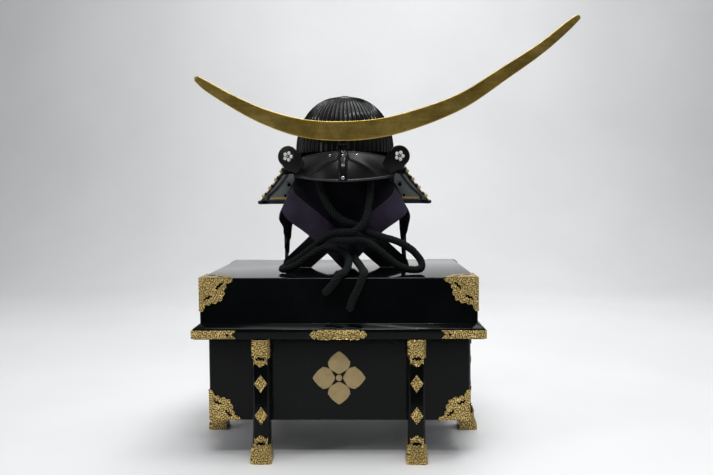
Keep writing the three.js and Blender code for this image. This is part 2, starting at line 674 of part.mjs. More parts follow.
// The hem hangs in a corner at the front, the back and each side, and is highest between them.
function hemHeight(turn) {
  const split = Math.atan2(128, 101);
  const fold = Math.atan2(Math.abs(Math.sin(turn)), Math.abs(Math.cos(turn)));
  const onFront = fold < split;
  const share = onFront ? Math.tan(fold) / Math.tan(split) : Math.tan(Math.PI / 2 - fold) * Math.tan(split);
  return lerp(onFront ? CLOTH.frontTip : CLOTH.sideTip, CLOTH.peak, share);
}

function clothPoint(u, v, inset) {
  const turn = u * 2 * Math.PI;
  const onPad = 0.25;
  const lift = CLOTH.wall + GAP;
  if (v <= onPad + 1e-6) {
    const r = (v / onPad) * STAND.padHalf;
    return new THREE.Vector3(Math.sin(turn) * r, -Math.cos(turn) * r, padTop(r) + lift - inset);
  }
  const fall = (v - onPad) / (1 - onPad);
  const z = lerp(CLOTH_LEVELS[0].z, hemHeight(turn), fall);
  const { x, y, power } = clothLevel(z);
  const [sin, cos] = [Math.sin(turn), Math.cos(turn)];
  const reach = (Math.abs(sin / x) ** power + Math.abs(cos / y) ** power) ** (-1 / power) + lift - inset;
  return new THREE.Vector3(sin * reach, -cos * reach, z + (lift - inset) * (1 - fall) ** 4);
}

function clothBody() {
  return domeWall(40, 8, (u, v) => clothPoint(u, v, 0), (u, v) => clothPoint(u, v, CLOTH.wall));
}

// ---- the chin cord ------------------------------------------------------------------

// A tube of round section along a curve, closed at both ends.
function tube(curve, radius, steps, sides) {
  const section = new THREE.Shape();
  for (let i = 0; i < sides; i++) {
    const turn = (i / sides) * 2 * Math.PI;
    const corner = [Math.cos(turn) * radius, Math.sin(turn) * radius];
    if (i === 0) section.moveTo(...corner);
    else section.lineTo(...corner);
  }
  section.closePath();
  return new THREE.ExtrudeGeometry(section, { steps, extrudePath: curve, bevelEnabled: false });
}

// The part of a cord's curve between two of its points.
class Stretch extends THREE.Curve {
  constructor(curve, from, to) {
    super();
    this.curve = curve;
    this.from = from;
    this.to = to;
  }

  getPoint(t, target) {
    return this.curve.getPoint(lerp(this.from, this.to, t), target);
  }
}

// Both halves of the cord come down inside the helmet in front of the cloth, cross, make a bow
// with one loop each, and hang over the chest's front edge. The left half makes the right loop
// and the knot's wrap, and the right half makes the left loop.
const CORD_FROM_LEFT = [
  [-53, -86, 630], [-50, -95, 600], [-43, -107, 565], [-31, -116, 535], [-14, -121, 510],
  [5, -124, 494], [25, -123, 485], [44, -120, 476], [64, -123, 465], [98, -130, 455],
  [130, -133, 444], [158, -134, 426], [174, -136, 405], [174, -143, 391], [158, -150, 387.5],
  [129, -150, 395], [95, -147, 420], [68, -144, 441], [50, -144, 449], [30, -146, 450],
  [13, -145, 449], [2, -140, 449], [-1, -133, 449], [3, -125, 449], [12, -121, 448],
  [24, -119, 445], [31, -120, 435], [32, -125, 420], [34, -135, 410], [39, -150, 404],
  [45, -168, 398], [51, -188, 391], [54, -204, 388], [52, -214.5, 385.5], [48, -220, 375],
  [43, -220.5, 362], [36, -220.5, 348], [29, -220.5, 332], [22, -220.5, 310],
];
const CORD_FROM_RIGHT = [
  [71, -86, 630], [70, -95, 600], [67, -107, 560], [63, -118, 525], [58, -130, 500],
  [47, -139, 481], [33, -142, 470], [15, -139, 467], [-2, -134, 467], [-14, -129, 464],
  [-30, -122, 455], [-50, -114, 440], [-72, -109, 423], [-98, -106, 404], [-114, -106, 394],
  [-124, -113, 388], [-124, -124, 387], [-114, -133, 388], [-92, -136, 397], [-66, -137, 415],
  [-42, -136, 430], [-24, -133, 434], [-4, -131, 430], [12, -135, 422], [20, -146, 411],
  [20, -165, 403], [18, -185, 395], [11, -202, 388], [4, -214.5, 385.5], [-3, -220, 376],
  [-10, -220.5, 366], [-19, -221, 356], [-30, -222, 345],
];
const CORD_STRETCHES = [
  { name: 'chin_cord_left', route: CORD_FROM_LEFT, from: 0, to: 18, steps: 22 },
  { name: 'chin_cord_left_end', route: CORD_FROM_LEFT, from: 18, to: 38, steps: 19 },
  { name: 'chin_cord_right', route: CORD_FROM_RIGHT, from: 0, to: 20, steps: 20 },
  { name: 'chin_cord_right_end', route: CORD_FROM_RIGHT, from: 20, to: 32, steps: 12 },
];

function addCords() {
  for (const { name, route, from, to, steps } of CORD_STRETCHES) {
    const curve = new THREE.CatmullRomCurve3(route.map((point) => new THREE.Vector3(...point)));
    const spans = route.length - 1;
    const trim = 0.01; // of one span, where the next stretch begins
    const stretch = new Stretch(curve, (from + trim) / spans, (to - trim) / spans);
    add(chest, name, tube(stretch, CORD.diameter / 2, steps, CORD.sides), GREEN_CORD);
  }
}

// ---- assembly -----------------------------------------------------------------------

add(chest, 'chest_box', boxBody(), BLACK_LACQUER);
add(chest, 'chest_lid', lidBody(), BLACK_LACQUER);
addLegs();
addFittings();

add(helmet, 'bowl', bowlBody(), SATIN_IRON);
add(helmet, 'crown_fitting', crownFitting(), SATIN_IRON);
add(helmet, 'base_band', baseBand(), SATIN_IRON);
add(helmet, 'visor', visorBody(), SATIN_IRON);
add(helmet, 'crest_holder', crestHolder(), SATIN_IRON);
const crest = add(chest, 'crest', crestBody(), GOLD_LEAF);
crest.position.set(0, CREST.y, 0);
for (let i = 0; i < LAME_TAILS.length; i++) add(helmet, `neck_lame_${i + 1}`, lameBody(i), BLACK_LACQUER);
add(helmet, 'ear_left', earBody(-1), LEATHER);
add(helmet, 'ear_right', earBody(1), LEATHER);
add(helmet, 'badge_left', badgeBody(-1), IVORY);
add(helmet, 'badge_right', badgeBody(1), IVORY);

add(helmet, 'stand_board_across', boardBody(1, true), BLACK_WOOD);
const along = add(helmet, 'stand_board_along', boardBody(0.62, false), BLACK_WOOD);
along.rotation.z = Math.PI / 2;
add(helmet, 'stand_pad', padBody(), BLACK_WOOD);
add(helmet, 'cloth', clothBody(), NAVY_CLOTH);
addCords();

// The whole stands with its origin under the middle of its box.
const object = new THREE.Group();
object.add(chest, helmet);
object.updateMatrixWorld(true);
const bounds = new THREE.Box3().setFromObject(object, true);
object.position.x = -(bounds.min.x + bounds.max.x) / 2;

export default object;
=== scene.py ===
"""The looks of a samurai helmet with a tall crescent crest, on its draped stand and the
black lacquered armour chest that it stands on. Metres, +Z up, the front looks along -Y."""

import math

import bpy
from mathutils import Euler, Matrix, Vector, noise


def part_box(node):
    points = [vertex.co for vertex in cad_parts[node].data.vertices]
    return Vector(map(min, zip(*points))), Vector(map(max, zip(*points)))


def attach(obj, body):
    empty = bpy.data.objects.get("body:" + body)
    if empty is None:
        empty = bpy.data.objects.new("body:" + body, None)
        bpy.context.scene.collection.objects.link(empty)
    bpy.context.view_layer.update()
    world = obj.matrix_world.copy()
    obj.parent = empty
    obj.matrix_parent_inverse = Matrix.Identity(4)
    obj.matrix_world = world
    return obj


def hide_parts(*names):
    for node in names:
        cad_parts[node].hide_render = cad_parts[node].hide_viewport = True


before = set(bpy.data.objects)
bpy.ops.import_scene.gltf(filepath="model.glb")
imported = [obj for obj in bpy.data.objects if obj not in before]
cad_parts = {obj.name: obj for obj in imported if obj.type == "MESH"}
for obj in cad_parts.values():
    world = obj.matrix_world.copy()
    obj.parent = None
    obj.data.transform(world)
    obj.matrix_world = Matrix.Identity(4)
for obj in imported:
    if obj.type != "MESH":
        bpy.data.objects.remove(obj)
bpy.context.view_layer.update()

MM = 0.001
TURN = 2 * math.pi
chest_low, chest_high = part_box("chest_box")
CHEST = Vector(((chest_low[0] + chest_high[0]) / 2, 0, 0))
HELMET = CHEST + Vector((9, 5, 0)) * MM


def chest_point(x, y, z):
    """Millimetres from the floor under the chest's middle."""
    return CHEST + Vector((x, y, z)) * MM


def helmet_point(x, y, z):
    """Millimetres from the floor under the helmet's middle."""
    return HELMET + Vector((x, y, z)) * MM


def lerp(a, b, t):
    return a + (b - a) * t


def smooth(low, high, value):
    t = min(max((value - low) / (high - low), 0), 1)
    return t * t * (3 - 2 * t)


# ---- camera, light and floor --------------------------------------------------------

LIGHTS = {  # where each hangs, what it aims at, its size and its power
    "ceiling_panel": ((0.3, 0.1, 3.0), (0, 0.3, 0.2), (3.2, 1.8), 62),
    "ceiling_strip_near": ((-0.1, -1.5, 2.5), (0, 0, 0.5), (1.0, 0.05), 15),
    "ceiling_strip_far": ((0.5, -0.5, 2.7), (0, 0, 0.5), (1.3, 0.08), 12),
    "wall_wash": ((0.2, 1.3, 2.6), (0.2, 4.4, 1.0), (3.0, 0.6), 30),
    "left_window": ((-2.6, -1.6, 1.5), (0, 0, 0.5), (0.7, 1.3), 11),
}


def set_camera():
    """Stands before the chest, a little to its right and above its lid, and looks slightly down."""
    tilt, pan, roll = -0.0578, 0.018, -0.0053
    camera = bpy.data.objects.new("camera", bpy.data.cameras.new("camera"))
    bpy.context.collection.objects.link(camera)
    camera.location = chest_point(60, -1660, 544)
    aim = Euler((math.pi / 2 + tilt, 0, pan)).to_matrix() @ Matrix.Rotation(roll, 3, "Z")
    camera.rotation_euler = aim.to_euler()
    camera.data.sensor_width = 36
    camera.data.lens = 36.1
    camera.data.shift_x = 0.0027
    bpy.context.scene.camera = camera


def set_lights():
    for name, (place, target, size, power) in LIGHTS.items():
        data = bpy.data.lights.new(name, "AREA")
        data.shape = "RECTANGLE"
        data.size, data.size_y = size
        data.energy = power
        light = bpy.data.objects.new(name, data)
        bpy.context.collection.objects.link(light)
        light.location = place
        light.rotation_euler = (Vector(target) - Vector(place)).to_track_quat("-Z", "Y").to_euler()


def set_room():
    """A room that is dark in front of the helmet and bright behind it."""
    world = bpy.data.worlds.new("studio")
    bpy.context.scene.world = world
    world.use_nodes = True
    nodes, links = world.node_tree.nodes, world.node_tree.links
    direction = nodes.new("ShaderNodeTexCoord")
    parts = nodes.new("ShaderNodeSeparateXYZ")
    room = nodes.new("ShaderNodeValToRGB")
    front, back = room.color_ramp.elements
    front.position, front.color = 0.1, (0.06, 0.06, 0.063, 1)
    back.position, back.color = 0.75, (0.6, 0.61, 0.63, 1)
    depth = nodes.new("ShaderNodeMath")
    depth.operation = "MULTIPLY_ADD"
    depth.inputs[1].default_value = 0.5
    depth.inputs[2].default_value = 0.5
    links.new(direction.outputs["Generated"], parts.inputs[0])
    links.new(parts.outputs["Y"], depth.inputs[0])
    links.new(depth.outputs[0], room.inputs[0])
    links.new(room.outputs[0], nodes["Background"].inputs["Color"])
    bpy.context.scene.view_settings.view_transform = "Standard"


def make_floor():
    """A floor that sweeps up into the wall behind the chest, in one quarter of a circle."""
    front, flat, sweep, width = -2.9, 5.2, 1.2, 14
    clear_selection()
    bpy.ops.mesh.primitive_grid_add(x_subdivisions=8, y_subdivisions=60, size=1)
    floor = bpy.context.object
    floor.name = "studio_floor"
    for vertex in floor.data.vertices:
        along = (vertex.co.y + 0.5) * 8
        past = max(along - flat, 0)
        turn = min(past / sweep, math.pi / 2)
        rise = max(past - sweep * math.pi / 2, 0) * 3
        vertex.co = Vector((vertex.co.x * width, front + min(along, flat) + sweep * math.sin(turn),
                            sweep * (1 - math.cos(turn)) + rise))
    look = Look("studio_floor", 0.55)
    cloud = look.noise(look.place(), 1.5, 3)
    look.set(Base_Color=look.colors(cloud, (0.3, (0.78, 0.785, 0.79)), (0.7, (0.83, 0.835, 0.84))))
    floor.data.materials.append(look.material)
    smooth_shading(floor, 60)


# ---- materials ----------------------------------------------------------------------


class Value:
    """A number that varies over a surface. Sums on it add Math nodes."""

    def __init__(self, look, socket):
        self.look = look
        self.socket = socket

    def sum(self, operation, *terms, clamp=False):
        node = self.look.node("ShaderNodeMath", {"operation": operation, "use_clamp": clamp})
        for socket, term in zip(node.inputs, terms):
            self.look.feed(socket, term)
        return Value(self.look, node.outputs[0])

    def __add__(self, other):
        return self.sum("ADD", self, other)

    def __sub__(self, other):
        return self.sum("SUBTRACT", self, other)

    def __rsub__(self, other):
        return self.sum("SUBTRACT", other, self)

    def __mul__(self, other):
        return self.sum("MULTIPLY", self, other)

    def __truediv__(self, other):
        return self.sum("DIVIDE", self, other)

    def __rtruediv__(self, other):
        return self.sum("DIVIDE", other, self)

    def __pow__(self, other):
        return self.sum("POWER", self, other)

    def __gt__(self, other):
        return self.sum("GREATER_THAN", self, other)

    __radd__ = __add__
    __rmul__ = __mul__

    def sine(self):
        return self.sum("SINE", self)

    def size(self):
        return self.sum("ABSOLUTE", self)

    def capped(self):
        return self.sum("ADD", self, 0, clamp=True)

    def most(self, other):
        return self.sum("MAXIMUM", self, other)


class Look:
    """A finish under construction: one material with its shader."""

    def __init__(self, name, roughness, metallic=0.0, **fixed):
        self.material = bpy.data.materials.new(name)
        self.material.use_nodes = True
        self.tree = self.material.node_tree
        self.shader = self.tree.nodes["Principled BSDF"]
        self.set(Roughness=roughness, Metallic=metallic, **fixed)

    def feed(self, socket, value):
        """Links a socket to a value that varies, or sets it to one that doesn't."""
        if isinstance(value, Value):
            value = value.socket
        if isinstance(value, bpy.types.NodeSocket):
            self.tree.links.new(value, socket)
        else:
            socket.default_value = value

    def node(self, kind, settings=None, inputs=None):
        """Adds a node: its settings first, then the values or links of its sockets."""
        node = self.tree.nodes.new(kind)
        for key, value in (settings or {}).items():
            if key == "stops":
                while len(node.color_ramp.elements) < len(value):
                    node.color_ramp.elements.new(0.5)
                for element, (place, color) in zip(node.color_ramp.elements, value):
                    element.position = place
                    element.color = (*color, 1)
            else:
                setattr(node, key, value)
        for key, value in (inputs or {}).items():
            self.feed(node.inputs[key], value)
        return node

    def set(self, **inputs):
        """Feeds the shader's own sockets, with _ for a space in their names."""
        for key, value in inputs.items():
            self.feed(self.shader.inputs[key.replace("_", " ")], value)

    def place(self):
        return self.node("ShaderNodeTexCoord").outputs["Object"]

    def split(self, vector):
        node = self.node("ShaderNodeSeparateXYZ", inputs={"Vector": vector})
        return [Value(self, socket) for socket in node.outputs]

    def join(self, x, y, z=0.0):
        return self.node("ShaderNodeCombineXYZ", inputs={"X": x, "Y": y, "Z": z}).outputs[0]

    def noise(self, at, scale, detail=3.0, roughness=0.5):
        inputs = {"Vector": at, "Scale": scale, "Detail": detail, "Roughness": roughness}
        return Value(self, self.node("ShaderNodeTexNoise", inputs=inputs).outputs["Fac"])

    def cells(self, at, scale, feature="F1", dimensions="3D"):
        settings = {"feature": feature, "voronoi_dimensions": dimensions}
        return self.node("ShaderNodeTexVoronoi", settings, {"Vector": at, "Scale": scale})

    def colors(self, value, *stops):
        return self.node("ShaderNodeValToRGB", {"stops": stops}, {"Fac": value}).outputs["Color"]

    def mix(self, share, first, second):
        node = self.node("ShaderNodeMix", {"data_type": "RGBA"})
        self.feed(node.inputs[0], share)
        for socket, color in ((node.inputs[6], first), (node.inputs[7], second)):
            self.feed(socket, (*color, 1) if isinstance(color, tuple) else color)
        return node.outputs[2]

    def bump(self, height, distance, strength=1.0):
        inputs = {"Height": height, "Distance": distance, "Strength": strength}
        self.set(Normal=self.node("ShaderNodeBump", inputs=inputs).outputs["Normal"])
        return self


def tinted(color, share, lift=0.0):
    """A colour made lighter or darker."""
    return tuple(min(channel * share + lift, 1) for channel in color)


def lacquer_look(name, color, roughness=0.07, grain=0.03, specular=0.27):
    """Polished lacquer: a deep flat colour, faint clouding and a little orange peel."""
    look = Look(name, roughness, IOR=1.32, Specular_IOR_Level=specular)
    at = look.place()
    cloud = look.noise(at, 9, 4)
    look.set(Base_Color=look.colors(cloud, (0.35, color), (0.75, tinted(color, 1.5, 0.001))))
    look.set(Roughness=roughness + grain * look.noise(at, 35, 5))
    return look.bump(look.noise(at, 90, 2), 0.0004, 0.25)


def gilt_look(name, cell=0.0118, base=(0.56, 0.41, 0.155)):
    """Chased gilt copper: raised scrolls on a ground of tiny punched rings. A cell holds one scroll."""
    look = Look(name, 0.34, 1.0)
    x, y, z = look.split(look.place())
    facing = look.node("ShaderNodeNewGeometry").outputs["Normal"]
    flat = look.split(facing)[2].size() > 0.7  # a face that lies level
    across = x + y * (1 - flat)
    up = z * (1 - flat) + y * flat
    at = look.join(across, up)
    scrolls = look.cells(at, 1 / cell, dimensions="2D")
    inputs = {0: at, 1: scrolls.outputs["Position"]}
    offset = look.node("ShaderNodeVectorMath", {"operation": "SUBTRACT"}, inputs).outputs[0]
    dx, dy, _ = look.split(offset)
    turn = dx.sum("ARCTAN2", dy, dx)
    radius = (dx * dx + dy * dy) ** 0.5
    spiral = (turn + radius * (TURN / (cell * 0.38))).sine() * 0.5 + 0.5
    leaf = (turn * 5 + 1.3).sine() * 0.5 + 0.5
    heart = (1 - radius / (cell * 0.16)).capped()
    relief = (spiral * 0.75 + leaf * 0.35 * (radius / (cell * 0.5))).capped().most(heart)
    rings = Value(look, look.cells(at, 1 / 0.0011, dimensions="2D").outputs["Distance"])
    ground = (1 - relief) * rings * 0.5
    wear = look.noise(look.place(), 70, 4)
    raised = look.mix(wear, base, tinted(base, 1.6))
    # The ground between the raised scrolls is coloured dark: painted shade in the chased recesses. The
    # lighter patches on the raised scrolls are wear.
    look.set(Base_Color=look.mix((relief * 2.1 - 0.48).capped(), tinted(base, 0.19), raised))
    look.set(Roughness=0.36 - 0.2 * relief + 0.1 * wear)
    return look.bump(relief + ground, 0.0011, 1.0)


def leaf_look(name):
    """Gold leaf laid in squares on a long blade, lightly brushed along it."""
    look = Look(name, 0.36, 1.0)
    at = look.place()
    x, y, z = look.split(at)
    leaves = look.cells(look.join(x + z * 0.12, z - x * 0.1), 11, dimensions="2D")
    patch = look.split(leaves.outputs["Color"])[0]
    brushed = look.noise(look.join(x * 3, y, z * 40), 5, 5, 0.65)
    cloud = look.noise(at, 14, 6, 0.6)
    speckle = look.noise(at, 130, 3)
    tone = (0.5 * cloud + 0.25 * brushed + 0.07 * patch + 0.18 * speckle).capped()
    antique, gold, bright = (0.22, 0.15, 0.03), (0.45, 0.315, 0.075), (0.72, 0.53, 0.18)
    look.set(Base_Color=look.colors(tone, (0.3, antique), (0.5, gold), (0.72, bright)))
    look.set(Roughness=0.24 + 0.22 * cloud + 0.08 * brushed)
    return look.bump(0.6 * look.noise(at, 260, 4) + 0.8 * cloud, 0.0008, 0.35)


def leather_look(name, color, roughness=0.42, grain=700.0, depth=0.00025):
    """Lacquered leather with a fine pebbled grain."""
    look = Look(name, roughness, IOR=1.36, Specular_IOR_Level=0.3)
    at = look.place()
    pebbles = Value(look, look.cells(at, grain, "SMOOTH_F1").outputs["Distance"])
    cloud = look.noise(at, 26, 5)
    look.set(Base_Color=look.colors(cloud, (0.3, color), (0.75, tinted(color, 1.7, 0.002))))
    look.set(Roughness=roughness - 0.08 + 0.2 * cloud)
    return look.bump(1 - pebbles, depth, 0.6)


def iron_look(name):
    """Satin black lacquer on ridged iron plates, faintly clouded lighter in random patches."""
    look = Look(name, 0.2, 0.0, IOR=1.38, Specular_IOR_Level=0.22)
    at = look.place()
    cloud = look.noise(at, 18, 6, 0.6)
    look.set(Base_Color=look.colors(cloud, (0.3, (0.003, 0.0034, 0.0034)), (0.8, (0.009, 0.0095, 0.009))))
    look.set(Roughness=0.08 + 0.12 * cloud)
    return look.bump(look.noise(at, 160, 4), 0.0005, 0.2)


def cord_look(name, color, light, twists, length):
    """A silk cord: fine ribs that run round it on a slant, over the strands' own fuzz."""
    look = Look(name, 0.85, Sheen_Weight=0.02, Sheen_Roughness=0.45, Specular_IOR_Level=0.1)
    around, along, _ = look.split(look.node("ShaderNodeUVMap").outputs["UV"])
    rib_every, strand_every = 3.4 * MM, 9 * MM
    rib = (along * (length / rib_every * TURN) + around * (TURN * twists)).sine() * 0.5 + 0.5
    strand = (along * (length / strand_every * TURN) - around * (TURN * 6)).sine() * 0.5 + 0.5
    fuzz = look.noise(look.place(), 900, 3)
    # The ribs' and strands' ridges are coloured lighter and their grooves darker: painted highlight and
    # painted shade along the relief. The fuzz adds random tone.
    tone = (0.4 * rib + 0.4 * strand + 0.5 * fuzz - 0.2).capped()
    look.set(Base_Color=look.colors(tone, (0.15, color), (0.9, light)))
    return look.bump(0.7 * rib + 0.35 * strand + 0.3 * fuzz, 0.0012, 0.9)


def cloth_look(name):
    """Dark navy cloth with a border band sewn on, a shade lighter and more purple."""
    look = Look(name, 0.8, Sheen_Weight=0.02, Sheen_Roughness=0.4, Specular_IOR_Level=0.1)
    u, v, _ = look.split(look.node("ShaderNodeUVMap").outputs["UV"])
    out = (u * 2 - 1).size().most((v * 2 - 1).size())
    hem = 1 - CLOTH_BAND / CLOTH_HALF
    band = out > hem
    seam = 1 - ((out - hem).size() / 0.0045).capped()
    edge = 1 - ((out - 0.985).size() / 0.004).capped()
    threads = ((u * 2600).sine() * 0.25 + (v * 2600).sine() * 0.25) + 0.5
    cloud = look.noise(look.place(), 22, 5)
    navy = look.colors(cloud, (0.3, (0.0012, 0.0013, 0.003)), (0.8, (0.004, 0.0042, 0.0078)))
    purple = look.colors(cloud, (0.25, (0.017, 0.0135, 0.025)), (0.75, (0.037, 0.03, 0.049)))
    body = look.mix(band, navy, purple)
    look.set(Base_Color=look.mix((seam * 0.35 + edge * 0.15).capped(), body, (0.05, 0.045, 0.06)))
    crumple = look.noise(look.place(), 60, 4)
    return look.bump(threads * 0.3 - seam * 1.2 - edge * 0.8 + 0.5 * crumple, 0.0006, 0.6)


def painted_look(name, color, roughness=0.45):
    """Plain enamel or paint with a faint unevenness."""
    look = Look(name, roughness)
    at = look.place()
    cloud = look.noise(at, 60, 4)
    look.set(Base_Color=look.colors(cloud, (0.3, tinted(color, 0.82)), (0.7, color)))
    look.set(Roughness=roughness - 0.05 + 0.15 * cloud)
    return look.bump(look.noise(at, 300, 3), 0.0003, 0.3)


def wood_look(name):
    """Black painted wood whose grain shows a little through the paint."""
    look = Look(name, 0.35)
    x, y, z = look.split(look.place())
    grain = look.noise(look.join(x * 30, y * 30, z * 2.5), 4, 5, 0.6)
    look.set(Base_Color=look.colors(grain, (0.3, (0.004, 0.0045, 0.0045)), (0.8, (0.011, 0.012, 0.012))))
    look.set(Roughness=0.28 + 0.2 * grain)
    return look.bump(grain, 0.0004, 0.4)


# ---- modelling ----------------------------------------------------------------------


def clear_selection():
    if bpy.context.object and bpy.context.object.mode != "OBJECT":
        bpy.ops.object.mode_set(mode="OBJECT")
    bpy.ops.object.select_all(action="DESELECT")


def hold(piece):
    """Makes a piece the only selected and active one."""
    clear_selection()
    piece.select_set(True)
    bpy.context.view_layer.objects.active = piece
    return piece


def edit(piece, *steps):
    """Runs steps on all of a piece's mesh in edit mode."""
    hold(piece)
    bpy.ops.object.mode_set(mode="EDIT")
    bpy.ops.mesh.select_all(action="SELECT")
    for step in steps:
        step()
    bpy.ops.object.mode_set(mode="OBJECT")


def merge():
    bpy.ops.mesh.remove_doubles(threshold=0.00001)


def face_out():
    bpy.ops.mesh.select_all(action="SELECT")
    bpy.ops.mesh.normals_make_consistent(inside=False)


def push(x, y, z):
    """A step that extrudes what is selected."""
    return lambda: bpy.ops.mesh.extrude_region_move(TRANSFORM_OT_translate={"value": (x, y, z)})


def inset(thickness, depth=0.0):
    return lambda: bpy.ops.mesh.inset(thickness=thickness, depth=depth)


def shift(x, y, z):
    return lambda: bpy.ops.transform.translate(value=(x, y, z))


def apply(piece, kind, **settings):
    hold(piece)
    modifier = piece.modifiers.new(kind.lower(), kind)
    for key, value in settings.items():
        setattr(modifier, key, value)
    bpy.ops.object.modifier_apply(modifier=modifier.name)


def round_edges(piece, width, segments=2, angle=30):
    apply(piece, "BEVEL", width=width, segments=segments, limit_method="ANGLE",
          angle_limit=math.radians(angle))


def smooth_shading(piece, angle=35):
    hold(piece)
    bpy.ops.object.shade_smooth_by_angle(angle=math.radians(angle))


def dress(piece, look, slot, *nodes, angle=35):
    """The last step of each piece: shading, finish, parenting under the root body and hiding the CAD nodes it
    replaces.
    """
    smooth_shading(piece, angle)
    piece.data.materials.clear()
    piece.data.materials.append(look.material)
    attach(piece, "root")
    if nodes:
        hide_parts(*nodes)
    return piece


def surface(name, columns, rows, point, closed=False):
    """A grid laid along a surface: point(u, v) gives each corner's place, u and v from 0 to 1."""
    clear_selection()
    bpy.ops.mesh.primitive_grid_add(x_subdivisions=columns, y_subdivisions=rows, size=1)
    piece = bpy.context.object
    piece.name = piece.data.name = name
    for vertex in piece.data.vertices:
        vertex.co = point(vertex.co.x + 0.5, vertex.co.y + 0.5)
    if closed:
        edit(piece, merge, face_out)
    return piece


def cut_plate(name, corners, *steps):
    """A plate cut to a closed outline of corners and worked with steps."""
    clear_selection()
    bpy.ops.mesh.primitive_circle_add(vertices=len(corners), radius=1, fill_type="NGON")
    plate = bpy.context.object
    plate.name = name
    for vertex, corner in zip(plate.data.vertices, corners):
        vertex.co = corner
    edit(plate, *steps, face_out)
    return plate


def upright_circle(vertices, radius):
    """A filled circle that faces the front."""
    clear_selection()
    bpy.ops.mesh.primitive_circle_add(vertices=vertices, radius=radius, fill_type="NGON",
                                      rotation=(math.pi / 2, 0, 0))
    bpy.ops.object.transform_apply(rotation=True)
    return bpy.context.object


def dome(name, centre, facing, radius, height):
    """A low round head: a ball squashed flat and turned to face outward."""
    clear_selection()
    bpy.ops.mesh.primitive_uv_sphere_add(segments=16, ring_count=10, radius=1)
    piece = bpy.context.object
    turn = Vector(facing).to_track_quat("Z", "Y").to_matrix().to_4x4()
    piece.data.transform(Matrix.Translation(centre) @ turn @ Matrix.Diagonal((radius, radius, height, 1)))
    piece.name = name
    return piece


def join(name, pieces):
    clear_selection()
    for piece in pieces:
        piece.select_set(True)
    bpy.context.view_layer.objects.active = pieces[0]
    bpy.ops.object.join()
    pieces[0].name = pieces[0].data.name = name
    return pieces[0]


def copy_of(piece, matrix):
    """A copy with its own mesh, moved in its mesh."""
    twin = piece.copy()
    twin.data = piece.data.copy()
    twin.name = "copy"
    bpy.context.collection.objects.link(twin)
    twin.data.transform(matrix)
    if matrix.determinant() < 0:
        twin.data.flip_normals()
    return twin


def remove(piece):
    bpy.data.objects.remove(piece, do_unlink=True)


def turned(degrees, axis):
    return Matrix.Rotation(math.radians(degrees), 4, axis)


def moved(x, y, z):
    """A move in millimetres."""
    return Matrix.Translation(Vector((x, y, z)) * MM)


def softened(node, width, segments=2):
    """A copy of a CAD node with its flats joined up and its edges rounded."""
    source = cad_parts[node]
    piece = bpy.data.objects.new(node + "_body", source.data.copy())
    bpy.context.collection.objects.link(piece)
    edit(piece, merge, lambda: bpy.ops.mesh.dissolve_limited(angle_limit=math.radians(1.5)))
    round_edges(piece, width, segments)
    return piece


def curve_through(points, steps):
    """Evenly spaced points on a centripetal Catmull-Rom curve."""
    ends = [points[0] * 2 - points[1], *points, points[-1] * 2 - points[-2]]
    dense = []
    for p0, p1, p2, p3 in zip(ends, ends[1:], ends[2:], ends[3:]):
        knots = [0.0]
        for a, b in ((p0, p1), (p1, p2), (p2, p3)):
            knots.append(knots[-1] + max((b - a).length, 1e-9) ** 0.5)
        for i in range(16):
            t = lerp(knots[1], knots[2], i / 16)
            dense.append(catmull(p0, p1, p2, p3, knots, t))
    dense.append(points[-1])
    return respaced(dense, steps)


def catmull(p0, p1, p2, p3, knots, t):
    """The place at t between p1 and p2."""
    def between(a, b, ka, kb):
        return a * ((kb - t) / (kb - ka)) + b * ((t - ka) / (kb - ka))

    a1 = between(p0, p1, knots[0], knots[1])
    a2 = between(p1, p2, knots[1], knots[2])
    a3 = between(p2, p3, knots[2], knots[3])
    b1 = between(a1, a2, knots[0], knots[2])
    b2 = between(a2, a3, knots[1], knots[3])
    return between(b1, b2, knots[1], knots[2])


def respaced(points, steps):
    """The same line cut into steps of one length."""
    lengths = [0.0]
    for a, b in zip(points, points[1:]):
        lengths.append(lengths[-1] + (b - a).length)
    spaced, i = [], 0
    for step in range(steps + 1):
        goal = lengths[-1] * step / steps
        while i + 2 < len(points) and lengths[i + 1] < goal:
            i += 1
        share = (goal - lengths[i]) / max(lengths[i + 1] - lengths[i], 1e-12)
        spaced.append(points[i].lerp(points[i + 1], min(max(share, 0), 1)))
    return spaced


def length_of(points):
    return sum((b - a).length for a, b in zip(points, points[1:]))


def tube(name, path, sides, radius):
    """A round tube along a path. radius(turn, along) gives its surface, and it closes at both ends."""
    frames = []
    side = (path[1] - path[0]).orthogonal().normalized()
    for i, point in enumerate(path):
        ahead = (path[min(i + 1, len(path) - 1)] - path[max(i - 1, 0)]).normalized()
        side = (side - ahead * side.dot(ahead)).normalized()
        frames.append((point, side.copy(), ahead.cross(side)))
    last = len(path) - 1

    def point(u, v):
        centre, across, up = frames[round(v * last)]
        turn = u * TURN
        reach = radius(turn, v)
        return centre + across * (math.cos(turn) * reach) + up * (math.sin(turn) * reach)

    return surface(name, sides, last, point, closed=True)


def even(radius):
    """A plain tube's radius, drawn in to close both ends."""
    return lambda turn, along: radius if 0 < along < 1 else 0.1 * MM


def braid_tube(name, line, radius):
    """A binding braid along a line: a round cord with slanting ribs."""
    length = length_of(line)
    path = respaced(line, max(int(length / (1.3 * MM)), 20))

    def reach(turn, along):
        rib = 0.1 * math.sin(along * length / (5.2 * MM) * TURN + turn)
        return even(radius * (1 + rib))(turn, along)

    return tube(name, path, 10, reach)


# ---- the chin cord ------------------------------------------------------------------

